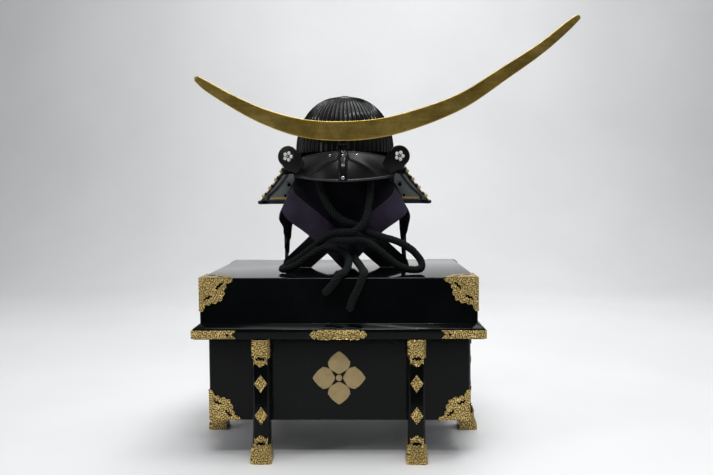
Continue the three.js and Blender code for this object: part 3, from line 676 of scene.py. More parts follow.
CORD_DIAMETER = 0.016
CORD_FROM_LEFT = [  # from inside the base band, down and over the bow to the free end
    (-53, -86, 630), (-50, -95, 600), (-43, -107, 565), (-31, -116, 535), (-14, -121, 510),
    (5, -124, 494), (25, -123, 485), (44, -120, 476), (64, -123, 465), (98, -130, 455),
    (130, -133, 444), (158, -134, 426), (174, -136, 405), (174, -143, 391), (158, -150, 387.5),
    (129, -150, 395), (95, -147, 420), (68, -144, 441), (50, -144, 449), (30, -146, 450),
    (13, -145, 449), (2, -140, 449), (-1, -133, 449), (3, -125, 449), (12, -121, 448),
    (24, -119, 445), (31, -120, 435), (32, -125, 420), (34, -135, 410), (39, -150, 404),
    (45, -168, 398), (51, -188, 391), (54, -204, 388), (52, -214.5, 385.5), (48, -220, 375),
    (43, -220.5, 362), (36, -220.5, 348), (29, -220.5, 332), (22, -220.5, 310),
]
CORD_FROM_RIGHT = [
    (71, -86, 630), (70, -95, 600), (67, -107, 560), (63, -118, 525), (58, -130, 500),
    (47, -139, 481), (33, -142, 470), (15, -139, 467), (-2, -134, 467), (-14, -129, 464),
    (-30, -122, 455), (-50, -114, 440), (-72, -109, 423), (-98, -106, 404), (-114, -106, 394),
    (-124, -113, 388), (-124, -124, 387), (-114, -133, 388), (-92, -136, 397), (-66, -137, 415),
    (-42, -136, 430), (-24, -133, 434), (-4, -131, 430), (12, -135, 422), (20, -146, 411),
    (20, -165, 403), (18, -185, 395), (11, -202, 388), (4, -214.5, 385.5), (-3, -220, 376),
    (-10, -220.5, 366), (-19, -221, 356), (-30, -222, 345),
]


def make_cord(name, route, *nodes):
    """One half of the chin cord, a soft tube whose ribbed cover wrinkles a little."""
    path = curve_through([chest_point(*point) for point in route], 700)
    length = length_of(path)

    def radius(turn, along):
        full = CORD_DIAMETER / 2
        cap = min(min(along, 1 - along) * length / full, 1)
        rounded = math.sqrt(max(1 - (1 - cap) ** 2, 0))
        seed = Vector((math.cos(turn) * 0.6, math.sin(turn) * 0.6, along * length * 95))
        wrinkle = noise.noise(seed) * 0.1 + noise.noise(seed * 2.3) * 0.05
        rib = math.cos(along * length / (7.5 * MM) * TURN + 2 * turn) * 0.03
        return full * rounded * (0.98 + wrinkle + rib)

    piece = tube(name, path, 20, radius)
    look = cord_look(name, (0.0008, 0.0011, 0.0012), (0.016, 0.021, 0.0205), 2, length)
    dress(piece, look, "green_cord", *nodes, angle=60)


# ---- the crest ----------------------------------------------------------------------

CREST_STATIONS = [  # along the blade: across, up, width
    (-303, 796, 10), (-283, 781, 19), (-236, 752, 24), (-163, 715, 31), (-78, 688, 38),
    (8, 681, 41), (94, 688, 40), (180, 711, 37), (262, 744, 32), (345, 797, 27),
    (428, 853, 21.5), (488, 903, 15.5), (504, 916, 9),
]
CREST_Y = -143
CREST_LENGTH = 820
CREST_HALF_THICKNESS = 2.1


def squared_off(wave, power):
    """A sine or cosine pushed towards -1 and 1, for a section between a circle and a box."""
    return math.copysign(abs(wave) ** power, wave)


def make_crest():
    steps = 200
    path = curve_through([Vector(station) for station in CREST_STATIONS], steps)

    def point(u, v):
        i = round(v * steps)
        middle, height, width = path[i]
        ahead = path[min(i + 1, steps)] - path[max(i - 1, 0)]
        along = Vector((ahead.x, ahead.y)).normalized()
        end = min(v, 1 - v) * CREST_LENGTH
        reach = width / 2 * math.sqrt(min(end / 4, 1)) * squared_off(math.cos(u * TURN), 0.22)
        thick = CREST_HALF_THICKNESS * squared_off(math.sin(u * TURN), 0.4) * (1 if end > 0 else 0.02)
        return chest_point(middle - along.y * reach, CREST_Y + thick, height + along.x * reach)

    piece = surface("crescent_crest", 32, steps, point, closed=True)
    dress(piece, leaf_look("gold_leaf"), "gold_leaf", "crest", angle=50)


# ---- the bowl -----------------------------------------------------------------------

BOWL = {"width": 111, "depth": 122, "rim": 641, "height": 130, "power": 2.2, "ribs": 62}
BOWL_TOP = BOWL["rim"] + BOWL["height"]
RIB = [2.1, 0.9, 0.1, 0.2, 0.25, 0.2, 0.1, 0.9]  # heights across one rib and its plate


def bowl_point(turn, fall, lift=0.0):
    share = math.sin(fall * math.pi / 2)
    up = (1 - share ** BOWL["power"]) ** (1 / BOWL["power"])
    x = (BOWL["width"] + lift) * share
    y = (BOWL["depth"] + lift) * share
    z = BOWL["rim"] + (BOWL["height"] + lift) * up
    return helmet_point(math.sin(turn) * x, -math.cos(turn) * y, z)


def make_bowl(look):
    columns = BOWL["ribs"] * len(RIB)

    def point(u, v):
        fall = lerp(0.1, 1, v)
        height = RIB[round(u * columns) % len(RIB)]
        return bowl_point(u * TURN, fall, height * smooth(0.08, 0.3, fall))

    piece = surface("ribbed_bowl", columns, 30, point, closed=True)
    apply(piece, "SOLIDIFY", thickness=0.0028, offset=-1)
    dress(piece, look, "satin_iron", "bowl", angle=50)


def make_crown(look):
    """The crown fitting: a petalled rosette with three rolled collars round the hole."""
    def petals(u, v):
        turn = u * TURN
        petal = abs(math.sin(turn * 8))
        reach = lerp(9, 24 + 2.2 * petal, v)
        lift = 0.5 + 1.6 * math.sin(v * math.pi) * (0.5 + 0.5 * petal)
        height = BOWL_TOP - reach * reach / 190 + lift
        return helmet_point(math.sin(turn) * reach, -math.cos(turn) * reach, height)

    rosette = surface("rosette", 96, 8, petals, closed=True)
    apply(rosette, "SOLIDIFY", thickness=0.001, offset=-1)
    rings = []
    for reach, height, thick in ((9.5, 0.4, 1.2), (12.5, 0.3, 0.8), (9.0, 1.6, 1.0)):
        clear_selection()
        bpy.ops.mesh.primitive_torus_add(major_radius=reach * MM, minor_radius=thick * MM, major_segments=48,
                                         minor_segments=10, location=helmet_point(0, 0, BOWL_TOP + height))
        bpy.ops.object.transform_apply(location=True)
        rings.append(bpy.context.object)
    piece = join("crown_rosette", [rosette, *rings])
    dress(piece, look, "gilt_brass", "crown_fitting", angle=40)


# ---- the visor ----------------------------------------------------------------------

VISOR_RIVETS = [  # across, down the visor, size; those in the middle stand on the crest's post
    (-34, 0.15, 3.2), (34, 0.15, 3.2), (0, 0.96, 4.2), (0, 0.05, 4.4), (0, 0.2, 3.6),
]
POST_STATIONS = (1, 0.9, 0.75, 0.5, 0.25, 0.08, 0)  # up the visor, from its lip to its top
POST_TOP = 676


def visor_point(u, v, lift=0.0):
    """On the visor: u from its left to its right, v from the bowl's rim to the lip."""
    side = 2 * u - 1
    top_x, lip_x = 92 * side, 113 * side
    top_y = -BOWL["depth"] * math.sqrt(1 - (top_x / BOWL["width"]) ** 2) - 1
    lip_y = -155 * math.sqrt(1 - 0.82 * side * side)
    top_z = 640 - 9 * side * side
    lip_z = 577 + 13 * side * side
    out = Vector((side * 0.5, -1, 0.45)).normalized()
    at = Vector((lerp(top_x, lip_x, v), lerp(top_y, lip_y, v), lerp(top_z, lip_z, v)))
    return helmet_point(*(at + out * (math.sin(v * math.pi) * 5 + lift)))


def brow(u, v):
    """The height of the two raised folds that run down and out from the middle post."""
    away = abs(u - 0.5)
    if not 0.045 < away < 0.36:
        return 0
    line = 0.26 + ((away - 0.045) / 0.27) ** 1.5 * 0.62
    across = (v - line) / 0.07
    height = math.exp(-across * across) if across > 0 else math.exp(-across * across / 4)
    return 2.6 * height * smooth(0.36, 0.26, away) * smooth(0.04, 0.07, away)


def make_visor(look, rim_look):
    plate = surface("visor_plate", 96, 30, lambda u, v: visor_point(u, v, brow(u, v)))
    edit(plate, face_out)
    apply(plate, "SOLIDIFY", thickness=0.0022, offset=1 if plate.data.polygons[0].normal.y > 0 else -1)
    dress(plate, look, "dark_leather", "visor", angle=40)
    for name, v, lift, steps, sides, radius in (("lip", 1, -1.1, 90, 14, 0.003),
                                                ("top_edge", 0.012, 0.2, 60, 10, 0.0012)):
        line = [visor_point(i / steps, v, lift) for i in range(steps + 1)]
        dress(tube(f"visor_{name}", line, sides, even(radius)), rim_look, "dark_leather", angle=60)


def make_rivets(look):
    heads = []
    for x, v, size in VISOR_RIVETS:
        place = visor_point(0.5 + x / 230, v, 0.3 if x else 6.4)
        heads.append(dome("rivet", place, (0, -1, 0.3), size * MM, size * 0.6 * MM))
    dress(join("visor_rivets", heads), look, "satin_iron", angle=60)


def post_middle(v):
    """The post's middle line, out and up in millimetres: up the visor's front, then up behind the crest."""
    t = v * 9
    step = min(int(t), 5)
    fall = lerp(POST_STATIONS[step], POST_STATIONS[step + 1], t - step) if t <= 6 else 0
    at = (visor_point(0.5, fall, 1.6) - HELMET) / MM
    if t <= 6:
        return at.y, at.z
    return lerp(at.y, CREST_Y + 3.3, smooth(6, 7.2, t)), lerp(at.z, POST_TOP, (t - 6) / 3)


def make_holder(look):
    """The half-round post that carries the crest."""
    def point(u, v):
        y, z = post_middle(v)
        turn = u * TURN
        wide = 10 * squared_off(math.cos(turn), 0.7)
        deep = max(math.sin(turn), -0.12) * 5.6
        return helmet_point(wide, y - deep, z)

    piece = surface("crest_post", 36, 72, point, closed=True)
    edit(piece, lambda: bpy.ops.mesh.select_all(action="DESELECT"), bpy.ops.mesh.select_non_manifold,
         bpy.ops.mesh.fill, face_out)
    dress(piece, look, "satin_iron", "crest_holder", angle=45)


# ---- the neck guard -----------------------------------------------------------------

LAME_TAILS = [95.4, 78, 74, 70, 66]  # how far each lame comes forward at its ends
SCALES = 118
NECK_HEIGHTS = (622, 531)


def neck_point(u, fall, outset, tail):
    """On the whole neck guard: u round it from left to right, fall from its top to its hem."""
    side = 2 * u - 1
    bow = math.sin(fall * math.pi) * 3
    half = lerp(121, 163, fall) - bow + outset
    back = lerp(131, 175, fall) - bow + outset
    spread = lerp(3, 12, fall)
    z = lerp(*NECK_HEIGHTS, fall)
    round_part = 0.7
    if abs(side) <= round_part:
        turn = side / round_part * math.pi / 2
        return helmet_point(math.sin(turn) * half, math.cos(turn) * back, z)
    forward = (abs(side) - round_part) / (1 - round_part)
    return helmet_point(math.copysign(half + spread * forward * forward, side), -tail * forward, z)


def lame_point(index, u, v, lift=0.0):
    """On one lame, whose top laps 7 mm over the outside of the one above it."""
    low = index * 0.2 - (7 / 91 if index else 0)
    outset = index * 3.6 - (1 - v) * 1.2
    return neck_point(u, lerp(low, (index + 1) * 0.2, v), outset + lift, LAME_TAILS[index])


def make_braid():
    """One lacing braid, 1 unit long and wide, standing on z = 0: a rounded bar with a groove."""
    clear_selection()
    bpy.ops.mesh.primitive_cube_add(size=1)
    bar = bpy.context.object
    edit(bar, lambda: bpy.ops.mesh.subdivide(number_cuts=1),
         lambda: bpy.ops.mesh.bevel(offset=0.16, segments=1, affect="EDGES"))
    for vertex in bar.data.vertices:
        if abs(vertex.co.x) < 0.05 and vertex.co.z > 0:
            vertex.co.z *= 0.55
    return bar


def outward(face):
    """Whether a face looks away from the helmet's axis."""
    return face.normal.dot(face.center - helmet_point(0, 0, face.center.z / MM)) > 0


def thicken(piece, thickness):
    """Gives a sheet its thickness behind the side that its faces show to the outside."""
    faces = piece.data.polygons
    apply(piece, "SOLIDIFY", thickness=thickness, offset=-1 if outward(faces[len(faces) // 2]) else 1)


def make_lames(outer, inner, gold, lacing):
    bar = make_braid()
    for index in range(len(LAME_TAILS)):
        start = 0.46 if index else 0.08  # how far down a lame its scale heads begin
        make_lame(index, outer, inner)
        make_scale_heads(index, start, gold)
        make_lame_lacing(index, start + 0.24, bar, lacing)
    remove(bar)


def make_lame(index, outer, inner):
    """One lame's wall, with a finish of its own on the side that looks inward."""
    wall = surface(f"lame_{index + 1}", 180, 6, lambda u, v: lame_point(index, u, v))
    thicken(wall, 0.0016)
    dress(wall, outer, "grey_lacquer", f"neck_lame_{index + 1}", angle=40)
    wall.data.materials.append(inner.material)
    for face in wall.data.polygons:
        if not outward(face):
            face.material_index = 1


def make_scale_heads(index, start, gold):
    """The row of round scale heads along a lame's top."""
    def point(u, v):
        ridge = abs(math.sin(u * SCALES * math.pi))
        return lame_point(index, u, lerp(start - 0.06 * ridge, start + 0.3, v), 0.5 + 1.1 * ridge)

    heads = surface(f"lame_{index + 1}_heads", SCALES * 4, 3, point)
    thicken(heads, 0.0006)
    dress(heads, gold, "gilt_brass", angle=60)


def make_lame_lacing(index, start, bar, lacing):
    """The close rows of braid that hang down over a lame."""
    width, height = 5.1 * MM, 2.6 * MM
    braids = []
    for i in range(SCALES - 4):
        u = (i + 2.5) / SCALES
        top, low = lame_point(index, u, start, 0.9), lame_point(index, u, 1.02, 0.9)
        across = (lame_point(index, u + 0.002, 0.7) - lame_point(index, u - 0.002, 0.7)).normalized()
        down = low - top
        out = across.cross(down).normalized()
        if out.dot(top - helmet_point(0, 20, 0)) < 0:
            out.negate()
        place = Matrix((across * width, down, out * height)).transposed().to_4x4()
        place.translation = (top + low) / 2 + out * 0.4 * MM
        braids.append(copy_of(bar, place))
    dress(join(f"lame_{index + 1}_lacing", braids), lacing, "green_cord", angle=50)


def make_hem(look):
    """The braid that binds the lowest lame's edge."""
    edge = [lame_point(4, i / 150, 1.0, -0.2) for i in range(151)]
    dress(braid_tube("neck_guard_binding", edge, 0.0042), look, "navy_cloth", angle=60)


END_PLATE = [(113, 594), (124, 592.5), (134, 579), (146, 565), (158, 554), (167, 546), (171, 536),
             (145, 535), (119, 535.5), (117, 548), (116, 558), (110.5, 569), (110, 582)]
END_OUTER = END_PLATE[1:7]
END_INNER = END_PLATE[:-6:-1]
END_SLOPE = 0.28
END_LUMPS = [  # lacing at the lames' front edges: name, how far down a lame, how far out, radius, slot
    ("end_scale_heads", 0.45, 2.6, 4.6, "gilt_brass"),
    ("end_ivory_lacing", 0.78, 3.6, 3.0, "ivory_paint"),
    ("end_black_lacing", 1.0, 2.4, 3.8, "green_cord"),
]


def end_point(side, x, z, lift=0.0):
    """On the in-turned front end of the neck guard, which faces the front."""
    return helmet_point(side * x, -58 - (z - 535) * END_SLOPE - lift, z)


def make_end_plates(grey, piping, dark, gold, navy):
    """The grey plates of the neck guard's front ends: piped, eyeleted, stitched with gold."""
    for side, name in ((-1, "left"), (1, "right")):
        corners = [end_point(side, x, z) for x, z in END_PLATE]
        plate = cut_plate(f"end_plate_{name}", corners, push(0, 0.0014, 0))
        round_edges(plate, 0.0005)
        dress(plate, grey, "grey_lacquer")
        make_end_piping(side, name, piping)
        make_end_eyelets(side, name, dark)
        make_end_stitches(side, name, gold)
        hem = [end_point(side, lerp(118, 172, i / 30), 531.5, 0.5) for i in range(31)]
        dress(braid_tube(f"end_binding_{name}", hem, 0.0042), navy, "navy_cloth", angle=60)
        make_end_strip(side, name, grey)


def make_end_piping(side, name, look):
    outer = [end_point(side, x + 1.5, z, 0.6) for x, z in END_OUTER]
    inner = [end_point(side, x, z, 0.4) for x, z in END_INNER]
    band = tube("outer_piping", respaced(outer, 50), 8, even(0.0024))
    bead = tube("inner_piping", respaced(inner, 40), 8, even(0.0011))
    dress(join(f"end_piping_{name}", [band, bead]), look, "green_cord", angle=60)


def make_end_eyelets(side, name, look):
    """Two eyelets, and a small arc over the upper one."""
    holes = [dome("eyelet", end_point(side, x, z, 0.2), (0, -1, -END_SLOPE), radius, 0.0012)
             for x, z, radius in ((123.5, 570, 0.0042), (133, 546, 0.0028))]
    turns = [i / 10 * math.pi for i in range(11)]
    arc = [end_point(side, 123.5 + math.cos(turn) * 4.6, 574 + math.sin(turn) * 2.6, 0.6) for turn in turns]
    holes.append(tube("eyelet_arc", respaced(arc, 16), 6, even(0.0006)))
    dress(join(f"end_eyelets_{name}", holes), look, "black_iron", angle=60)


def make_end_stitches(side, name, look):
    """A zigzag of gold stitches along the plate's foot."""
    stitches = []
    for i in range(17):
        lean = 1 if i % 2 else -1
        centre = end_point(side, lerp(122, 166, i / 16), 540 + lean, 0.7)
        stitches.append(dome("stitch", centre, (0.35 * lean, -1, -END_SLOPE), 0.0023, 0.0012))
    dress(join(f"gold_stitches_{name}", stitches), look, "gilt_brass", angle=60)


def make_end_strip(side, name, look):
    """The grey strip that runs outside the piping."""
    spans = len(END_OUTER) - 1

    def point(u, v):
        i = min(int(u * spans), spans - 1)
        (xa, za), (xb, zb) = END_OUTER[i], END_OUTER[i + 1]
        t = u * spans - i
        return end_point(side, lerp(xa, xb, t) + lerp(5.0, 10.5, v), lerp(za, zb, t), 2.0)

    strip = surface(f"end_strip_{name}", 20, 2, point)
    apply(strip, "SOLIDIFY", thickness=0.001, offset=0)
    edit(strip, face_out)
    dress(strip, look, "grey_lacquer")


def make_end_lacing(*looks):
    """Three lumps one behind the other for each sort of lacing, at both ends of each lame."""
    for (name, v, lift, size, slot), look in zip(END_LUMPS, looks):
        lumps = []
        for index in range(len(LAME_TAILS)):
            for u in (0.004, 0.996):
                out = (lame_point(index, u, 0.5) - helmet_point(0, -60, 570)).normalized()
                for behind in (0, 6.5, 13):
                    place = lame_point(index, u, v, lift) + Vector((0, behind, 0)) * MM
                    lumps.append(dome("lump", place, out, size * MM, size * 0.85 * MM))
        dress(join(name, lumps), look, slot, angle=60)


# ---- the cloth ----------------------------------------------------------------------

CLOTH_HALF = 0.30
CLOTH_BAND = 0.049
CLOTH_LEVELS = [  # height, half width, half depth, squareness
    (745.8, 58, 58, 2), (724, 74, 70, 2.1), (690, 89, 78, 2.2), (650, 98, 83, 2.3), (615, 102, 87, 2.6),
    (590, 112, 93, 3), (540, 124, 99, 4.5), (505, 130, 102, 7), (440, 134, 104, 8), (376, 136, 105, 8),
]
HEM = {"front": 381, "side": 396, "peak": 514}
HEM_SPLIT = math.atan2(128, 101)  # where round the stand the hem is highest, between two of its tips
CROWN_SHARE, CROWN_REACH = 0.25, 58  # the middle that lies on the pad, of the half width and in millimetres


def cloth_level(z):
    """Half width, half depth and squareness of the drape at one height."""
    i = 0
    while i + 2 < len(CLOTH_LEVELS) and CLOTH_LEVELS[i + 1][0] > z:
        i += 1
    (za, *a), (zb, *b) = CLOTH_LEVELS[i], CLOTH_LEVELS[i + 1]
    t = smooth(0, 1, (za - z) / (za - zb)) * 0.3 + min(max((za - z) / (za - zb), 0), 1) * 0.7
    return [lerp(p, q, t) for p, q in zip(a, b)]


def folded(turn):
    """A turn round the stand brought into the quarter from the front tip to a side one."""
    return math.atan2(abs(math.sin(turn)), abs(math.cos(turn)))


def hem_height(turn):
    fold = folded(turn)
    front = fold < HEM_SPLIT
    slope = math.tan(HEM_SPLIT)
    share = math.tan(fold) / slope if front else math.tan(math.pi / 2 - fold) * slope
    return lerp(HEM["front"] if front else HEM["side"], HEM["peak"], share)


def cloth_folds(turn, v, z):
    """How far the cloth stands out from its plain shape: pleats at the sides, soft folds in front."""
    grown = smooth(0.5, 1, v)
    sides = abs(math.sin(turn)) ** 6
    pleats = math.sin(turn * 30 + 1.5 * math.sin(z / 40)) * 10 * sides * grown * (1 - 0.6 * smooth(0.7, 1, v))
    across = math.sin(turn)
    soft = noise.noise(Vector((across * 2.6, math.cos(turn) * 2.6, z / 90))) * 8 * grown * (1 - 0.4 * sides)
    drag = math.sin(across * 17 + z / 26) * 2.2 * smooth(0.3, 0.8, v) * (1 - sides)
    flare = 25 * math.exp(-((folded(turn) - HEM_SPLIT) / 0.17) ** 2) * grown ** 1.5
    behind = smooth(0, 0.6, -math.cos(turn)) * (1 - sides)
    gathered = math.sin(turn * 30) * 11 * behind * grown
    return pleats + soft + drag + gathered + flare - 1.5 * grown * (1 - sides)


def cloth_point(s, t):
    """Where a place on the flat square, -1 to 1 both ways, lies once the cloth is draped cornerwise."""
    v = max(abs(s), abs(t))
    turn = math.atan2(s + t, s - t) if v > 0 else 0
    sin, cos = math.sin(turn), math.cos(turn)
    lift = 1.9
    if v <= CROWN_SHARE:
        reach = v / CROWN_SHARE * CROWN_REACH
        return helmet_point(sin * reach, -cos * reach, 761.8 - 16 * (reach / CROWN_REACH) ** 2 + lift)
    fall = (v - CROWN_SHARE) / (1 - CROWN_SHARE)
    z = lerp(CLOTH_LEVELS[0][0], hem_height(turn), fall)
    half_x, half_y, power = cloth_level(z)
    reach = (abs(sin / half_x) ** power + abs(cos / half_y) ** power) ** (-1 / power)
    reach += lift + cloth_folds(turn, v, z)
    return helmet_point(sin * reach, -cos * reach, z + lift * (1 - fall) ** 4)


def make_cloth():
    piece = surface("draped_cloth", 140, 140, lambda u, v: cloth_point(2 * u - 1, 2 * v - 1))
    top = max(piece.data.polygons, key=lambda face: face.center.z)
    apply(piece, "SOLIDIFY", thickness=0.0013, offset=-1 if top.normal.z > 0 else 1)
    dress(piece, cloth_look("navy_cloth"), "navy_cloth", "cloth", angle=70)


# ---- ears and badges ----------------------------------------------------------------


def ear_face(side, across, up):
    """A place on the front of an ear, in millimetres from the middle of its round end."""
    x = side * 121.5 + across
    return helmet_point(x, -113 + 0.42 * (abs(x) - 93) - 3.2, 631 + up)


def ear_ring(side, reach, first, last, step):
    """Places in a ring round the middle of an ear, from a first turn to a last one in degrees."""
    turns = [math.radians(turn) for turn in range(first, last, step)]
    return [ear_face(side, math.cos(turn) * reach, math.sin(turn) * reach) for turn in turns]


def make_ears(look, rim_look, ivory, dark):
    """The two turned-back ears, each with a piped edge and a plum blossom of five round petals."""
    for side, name, first in ((-1, "left", 22), (1, "right", -66)):
        dress(softened(f"ear_{name}", 0.0009), look, "dark_leather", f"ear_{name}")
        facing = Vector((side * 0.39, -0.92, 0))
        middle = ear_face(side, 0, 0)
        petals = [dome("petal", place, facing, 0.0042, 0.0021) for place in ear_ring(side, 7.4, 69, 429, 72)]
        petals.append(dome("pistil", middle + facing * 0.0008, facing, 0.0012, 0.0011))
        dress(join(f"plum_blossom_{name}", petals), ivory, "ivory_paint", f"badge_{name}", angle=60)
        heart = [dome("heart", middle, facing, 0.0031, 0.0012)]
        for place in ear_ring(side, 4.6, 33, 393, 72):
            heart.append(dome("stamen", place, facing, 0.001, 0.0011))
        dress(join(f"blossom_heart_{name}", heart), dark, "black_iron", angle=60)
        edge = tube(f"ear_edge_{name}", ear_ring(side, 21.6, first, first + 224, 4), 8, even(0.0011))
        dress(edge, rim_look, "dark_leather", angle=60)


# ---- the chest's legs ---------------------------------------------------------------

LEGS = {"front_left": (-159, -197, 0), "front_right": (159, -197, 0), "back_left": (-159, 197, 180),
        "back_right": (159, 197, 180), "side_left": (-270.5, 0, -90), "side_right": (270.5, 0, 90)}
CAP_TONGUE = [(13.4, 0), (13.8, 18), (13.9, 24), (12.4, 20.6), (9.8, 20.4), (8.4, 23.4), (5.6, 23.8),
              (4, 26.2), (0, 28)]
FOOT_LEAN = -9


def leg_front(leg, reach, height, lean=0):
    """A place on a leg's outer face, so far out from its axis and up from the floor."""
    x, y, turn = leg
    stand = Matrix.Translation(chest_point(x, y, 0)) @ turned(turn, "Z")
    return stand @ moved(0, -reach, height) @ turned(lean, "X")


def make_diamond():
    """A lozenge plate standing on its point, 1.4 mm thick, with a raised rim and a boss."""
    plate = upright_circle(4, 0.01325)
    edit(plate, push(0, -0.0014, 0), inset(0.0016), shift(0, 0.0005, 0), inset(0.0009), inset(0.005, 0.0011),
         face_out)
    for vertex in plate.data.vertices:
        vertex.co.z *= 1.4
    round_edges(plate, 0.0002)
    return plate


def make_diamonds(look):
    model = make_diamond()
    for name, leg in LEGS.items():
        pair = []
        for height in (163, 97):
            reach = 27.25 + (250 - height) * 0.0105  # the leg's face leans out towards its foot
            pair.append(copy_of(model, leg_front(leg, reach, height)))
        dress(join(f"leg_diamonds_{name}", pair), look, "gilt_brass", angle=30)
    remove(model)


def make_cap_tongues(gilt):
    """The lobed tongues on the fronts of each leg's two gilt caps: one hangs down, one stands up."""
    outline = [*CAP_TONGUE, *[(-x, z) for x, z in reversed(CAP_TONGUE[:-1])]]
    tongue = fitting_plate("tongue", outline, 1.0, 0.9)
    hanging = Matrix.Diagonal((1, 1, -1, 1))
    plates = []
    for leg in LEGS.values():
        plates.append(copy_of(tongue, leg_front(leg, 28.7, 225) @ hanging))
        plates.append(copy_of(tongue, leg_front(leg, 36.0, 30, FOOT_LEAN)))
    remove(tongue)
    dress(join("leg_cap_tongues", plates), gilt, "gilt_brass")


def make_leg_piercings(dark):
    """The pierced marks on the fronts of each leg's two gilt caps, and on the flange's corner bands."""
    row = join("row", fivefold_piercing(0, 0, 0))
    marks = []
    for leg in LEGS.values():
        marks.append(copy_of(row, leg_front(leg, 29.0, 214)))
        marks.append(copy_of(row, leg_front(leg, 35.6, 40.5, FOOT_LEAN)))
    remove(row)
    for sx, sy in CORNERS.values():
        for x, y, facing in ((226, 225.2, (0, sy, 0)), (300.2, 151, (sx, 0, 0))):
            marks.append(dome("dot", chest_point(sx * x, sy * y, FLANGE_MIDDLE), facing, 0.0031, 0.0008))
    dress(join("cap_and_band_piercings", marks), dark, "gilt_brass", angle=60)


# ---- the chest ----------------------------------------------------------------------

CORNERS = {"front_left": (-1, -1), "front_right": (1, -1), "back_left": (-1, 1), "back_right": (1, 1)}
FLANGE_MIDDLE = 263.2
FLANGE_PLATES = {"front": (224, 0), "right": (299, 90), "back": (224, 180), "left": (299, 270)}
CARTOUCHE_QUARTER = [  # from near the middle out to the tip: a long bar, a notch, then a lobe
    (16, 9.6), (22, 10.2), (40, 10.2), (43.2, 8.6), (44, 5), (45.4, 5), (46.4, 8), (49.5, 8.8), (52.5, 7.6),
    (54.5, 4.6), (57.5, 2.2), (58.5, 0),
]
PIERCED_ROW = [(-2, 2.2), (-1, 2.3), (0, 2.6), (1, 2.3), (2, 2.2)]  # place in the row, radius


def make_petal(reach, width, thickness):
    """A rounded petal plate that points up from the origin, raised along its middle."""
    petal = upright_circle(40, 1)
    for vertex in petal.data.vertices:
        up = (vertex.co.z + 1) / 2
        vertex.co.x *= width / 2 * math.sin(math.pi * min(up * 0.82 + 0.12, 1)) ** 0.6
        vertex.co.z = up * reach
    edit(petal, push(0, -thickness, 0), inset(width * 0.07, 0.0005), face_out)
    return petal


def make_ornament(look):
    """A flower of four petals in gold on the chest's front, with two leaves between each two of them."""
    centre = chest_point(0, -197.3, 168)
    petals = []
    for turn, reach in ((0, 47), (90, 46), (180, 47), (270, 46)):
        petal = make_petal(reach * MM, 44 * MM, 0.0012)
        place = Matrix.Translation(centre) @ turned(turn, "Y")
        petals.append(copy_of(petal, place @ moved(0, 0, 8.5)))
        remove(petal)
        leaf = make_petal(reach * 0.62 * MM, 13 * MM, 0.0009)
        for swing in (-1, 1):
            petals.append(copy_of(leaf, place @ turned(45 + swing * 7.25, "Y") @ moved(swing * 3.48, 0, 13)))
        remove(leaf)
    petals.append(dome("flower_heart", centre + Vector((0, -0.6, 0)) * MM, (0, -1, 0), 0.0068, 0.0016))
    dress(join("front_flower", petals), look, "gilt_brass")


def fitting_plate(name, outline, thickness, rim):
    """A chased plate cut to an outline (across, up) in millimetres. It faces -Y, with a raised rim."""
    corners = [Vector((x, 0, z)) * MM for x, z in outline]
    return cut_plate(name, corners, push(0, -thickness * MM, 0), inset(rim * MM), shift(0, 0.0006, 0))


def fivefold_piercing(x, z, turn):
    """A pierced mark of five dots in a wavy row, shown as black insets on the plate's face."""
    dots = []
    for step, radius in PIERCED_ROW:
        rise = 1.2 if step % 2 else -0.6
        along = Vector((math.cos(turn), 0, math.sin(turn))) * step * 3.5
        aside = Vector((-math.sin(turn), 0, math.cos(turn))) * rise
        centre = (Vector((x, -1.15, z)) + along + aside) * MM
        dots.append(dome("dot", centre, (0, -1, 0), radius * MM, 0.0006))
    return dots


def corner_reach(angle):
    """How far a corner plate spreads from the chest's corner: long along both edges, lobed between."""
    inside = min(angle, 90 - angle)
    reach = lerp(1, 0.8, smooth(0, 15, inside)) + 0.09 * smooth(20, 45, inside)
    return reach + abs(math.sin(math.radians(angle * 14))) * 0.055 * smooth(0, 6, inside)


def corner_plate(size):
    """A fan-shaped plate from the corner at the origin, along +X and down, with a raised lobed rim."""
    def point(u, v):
        angle = 90 * u
        radius = size * corner_reach(angle) * v
        lift = 1.0 + 0.8 * smooth(0.91, 0.95, v) * smooth(1.02, 0.975, v)
        turn = math.radians(angle)
        return Vector((math.cos(turn) * radius, -lift, -math.sin(turn) * radius)) * MM

    plate = surface("corner_plate", 132, 24, point, closed=True)
    apply(plate, "SOLIDIFY", thickness=0.001, offset=-1 if plate.data.polygons[0].normal.y < 0 else 1)
    return plate


def corner_fitting(name, gilt, dark, size, corner, sides, rise, cap):
    """A fitting round one corner of the chest: a plate on each side face and, with cap, one on top."""
    plate = corner_plate(size)
    holes = join("holes", fivefold_piercing(size * 0.6, -size * 0.235, 0.75)
                 + fivefold_piercing(size * 0.26, -size * 0.585, 0.45))
    sx, sy = sides
    across, away, up = Vector((-sx, 0, 0)), Vector((0, -sy, 0)), Vector((0, 0, rise))
    turns = [(across, away, up), (away, across, up)]
    if cap:
        turns.append((across, -up, -away))
    plates, piercings = [], []
    for basis in turns:
        place = Matrix(basis).transposed().to_4x4()
        place.translation = corner - basis[1] * 0.0003
        plates.append(copy_of(plate, place))
        piercings.append(copy_of(holes, place))
    remove(plate)
    remove(holes)
    dress(join(name + "_plates", plates), gilt, "gilt_brass", name)
    dress(join(name + "_piercings", piercings), dark, "gilt_brass", angle=60)


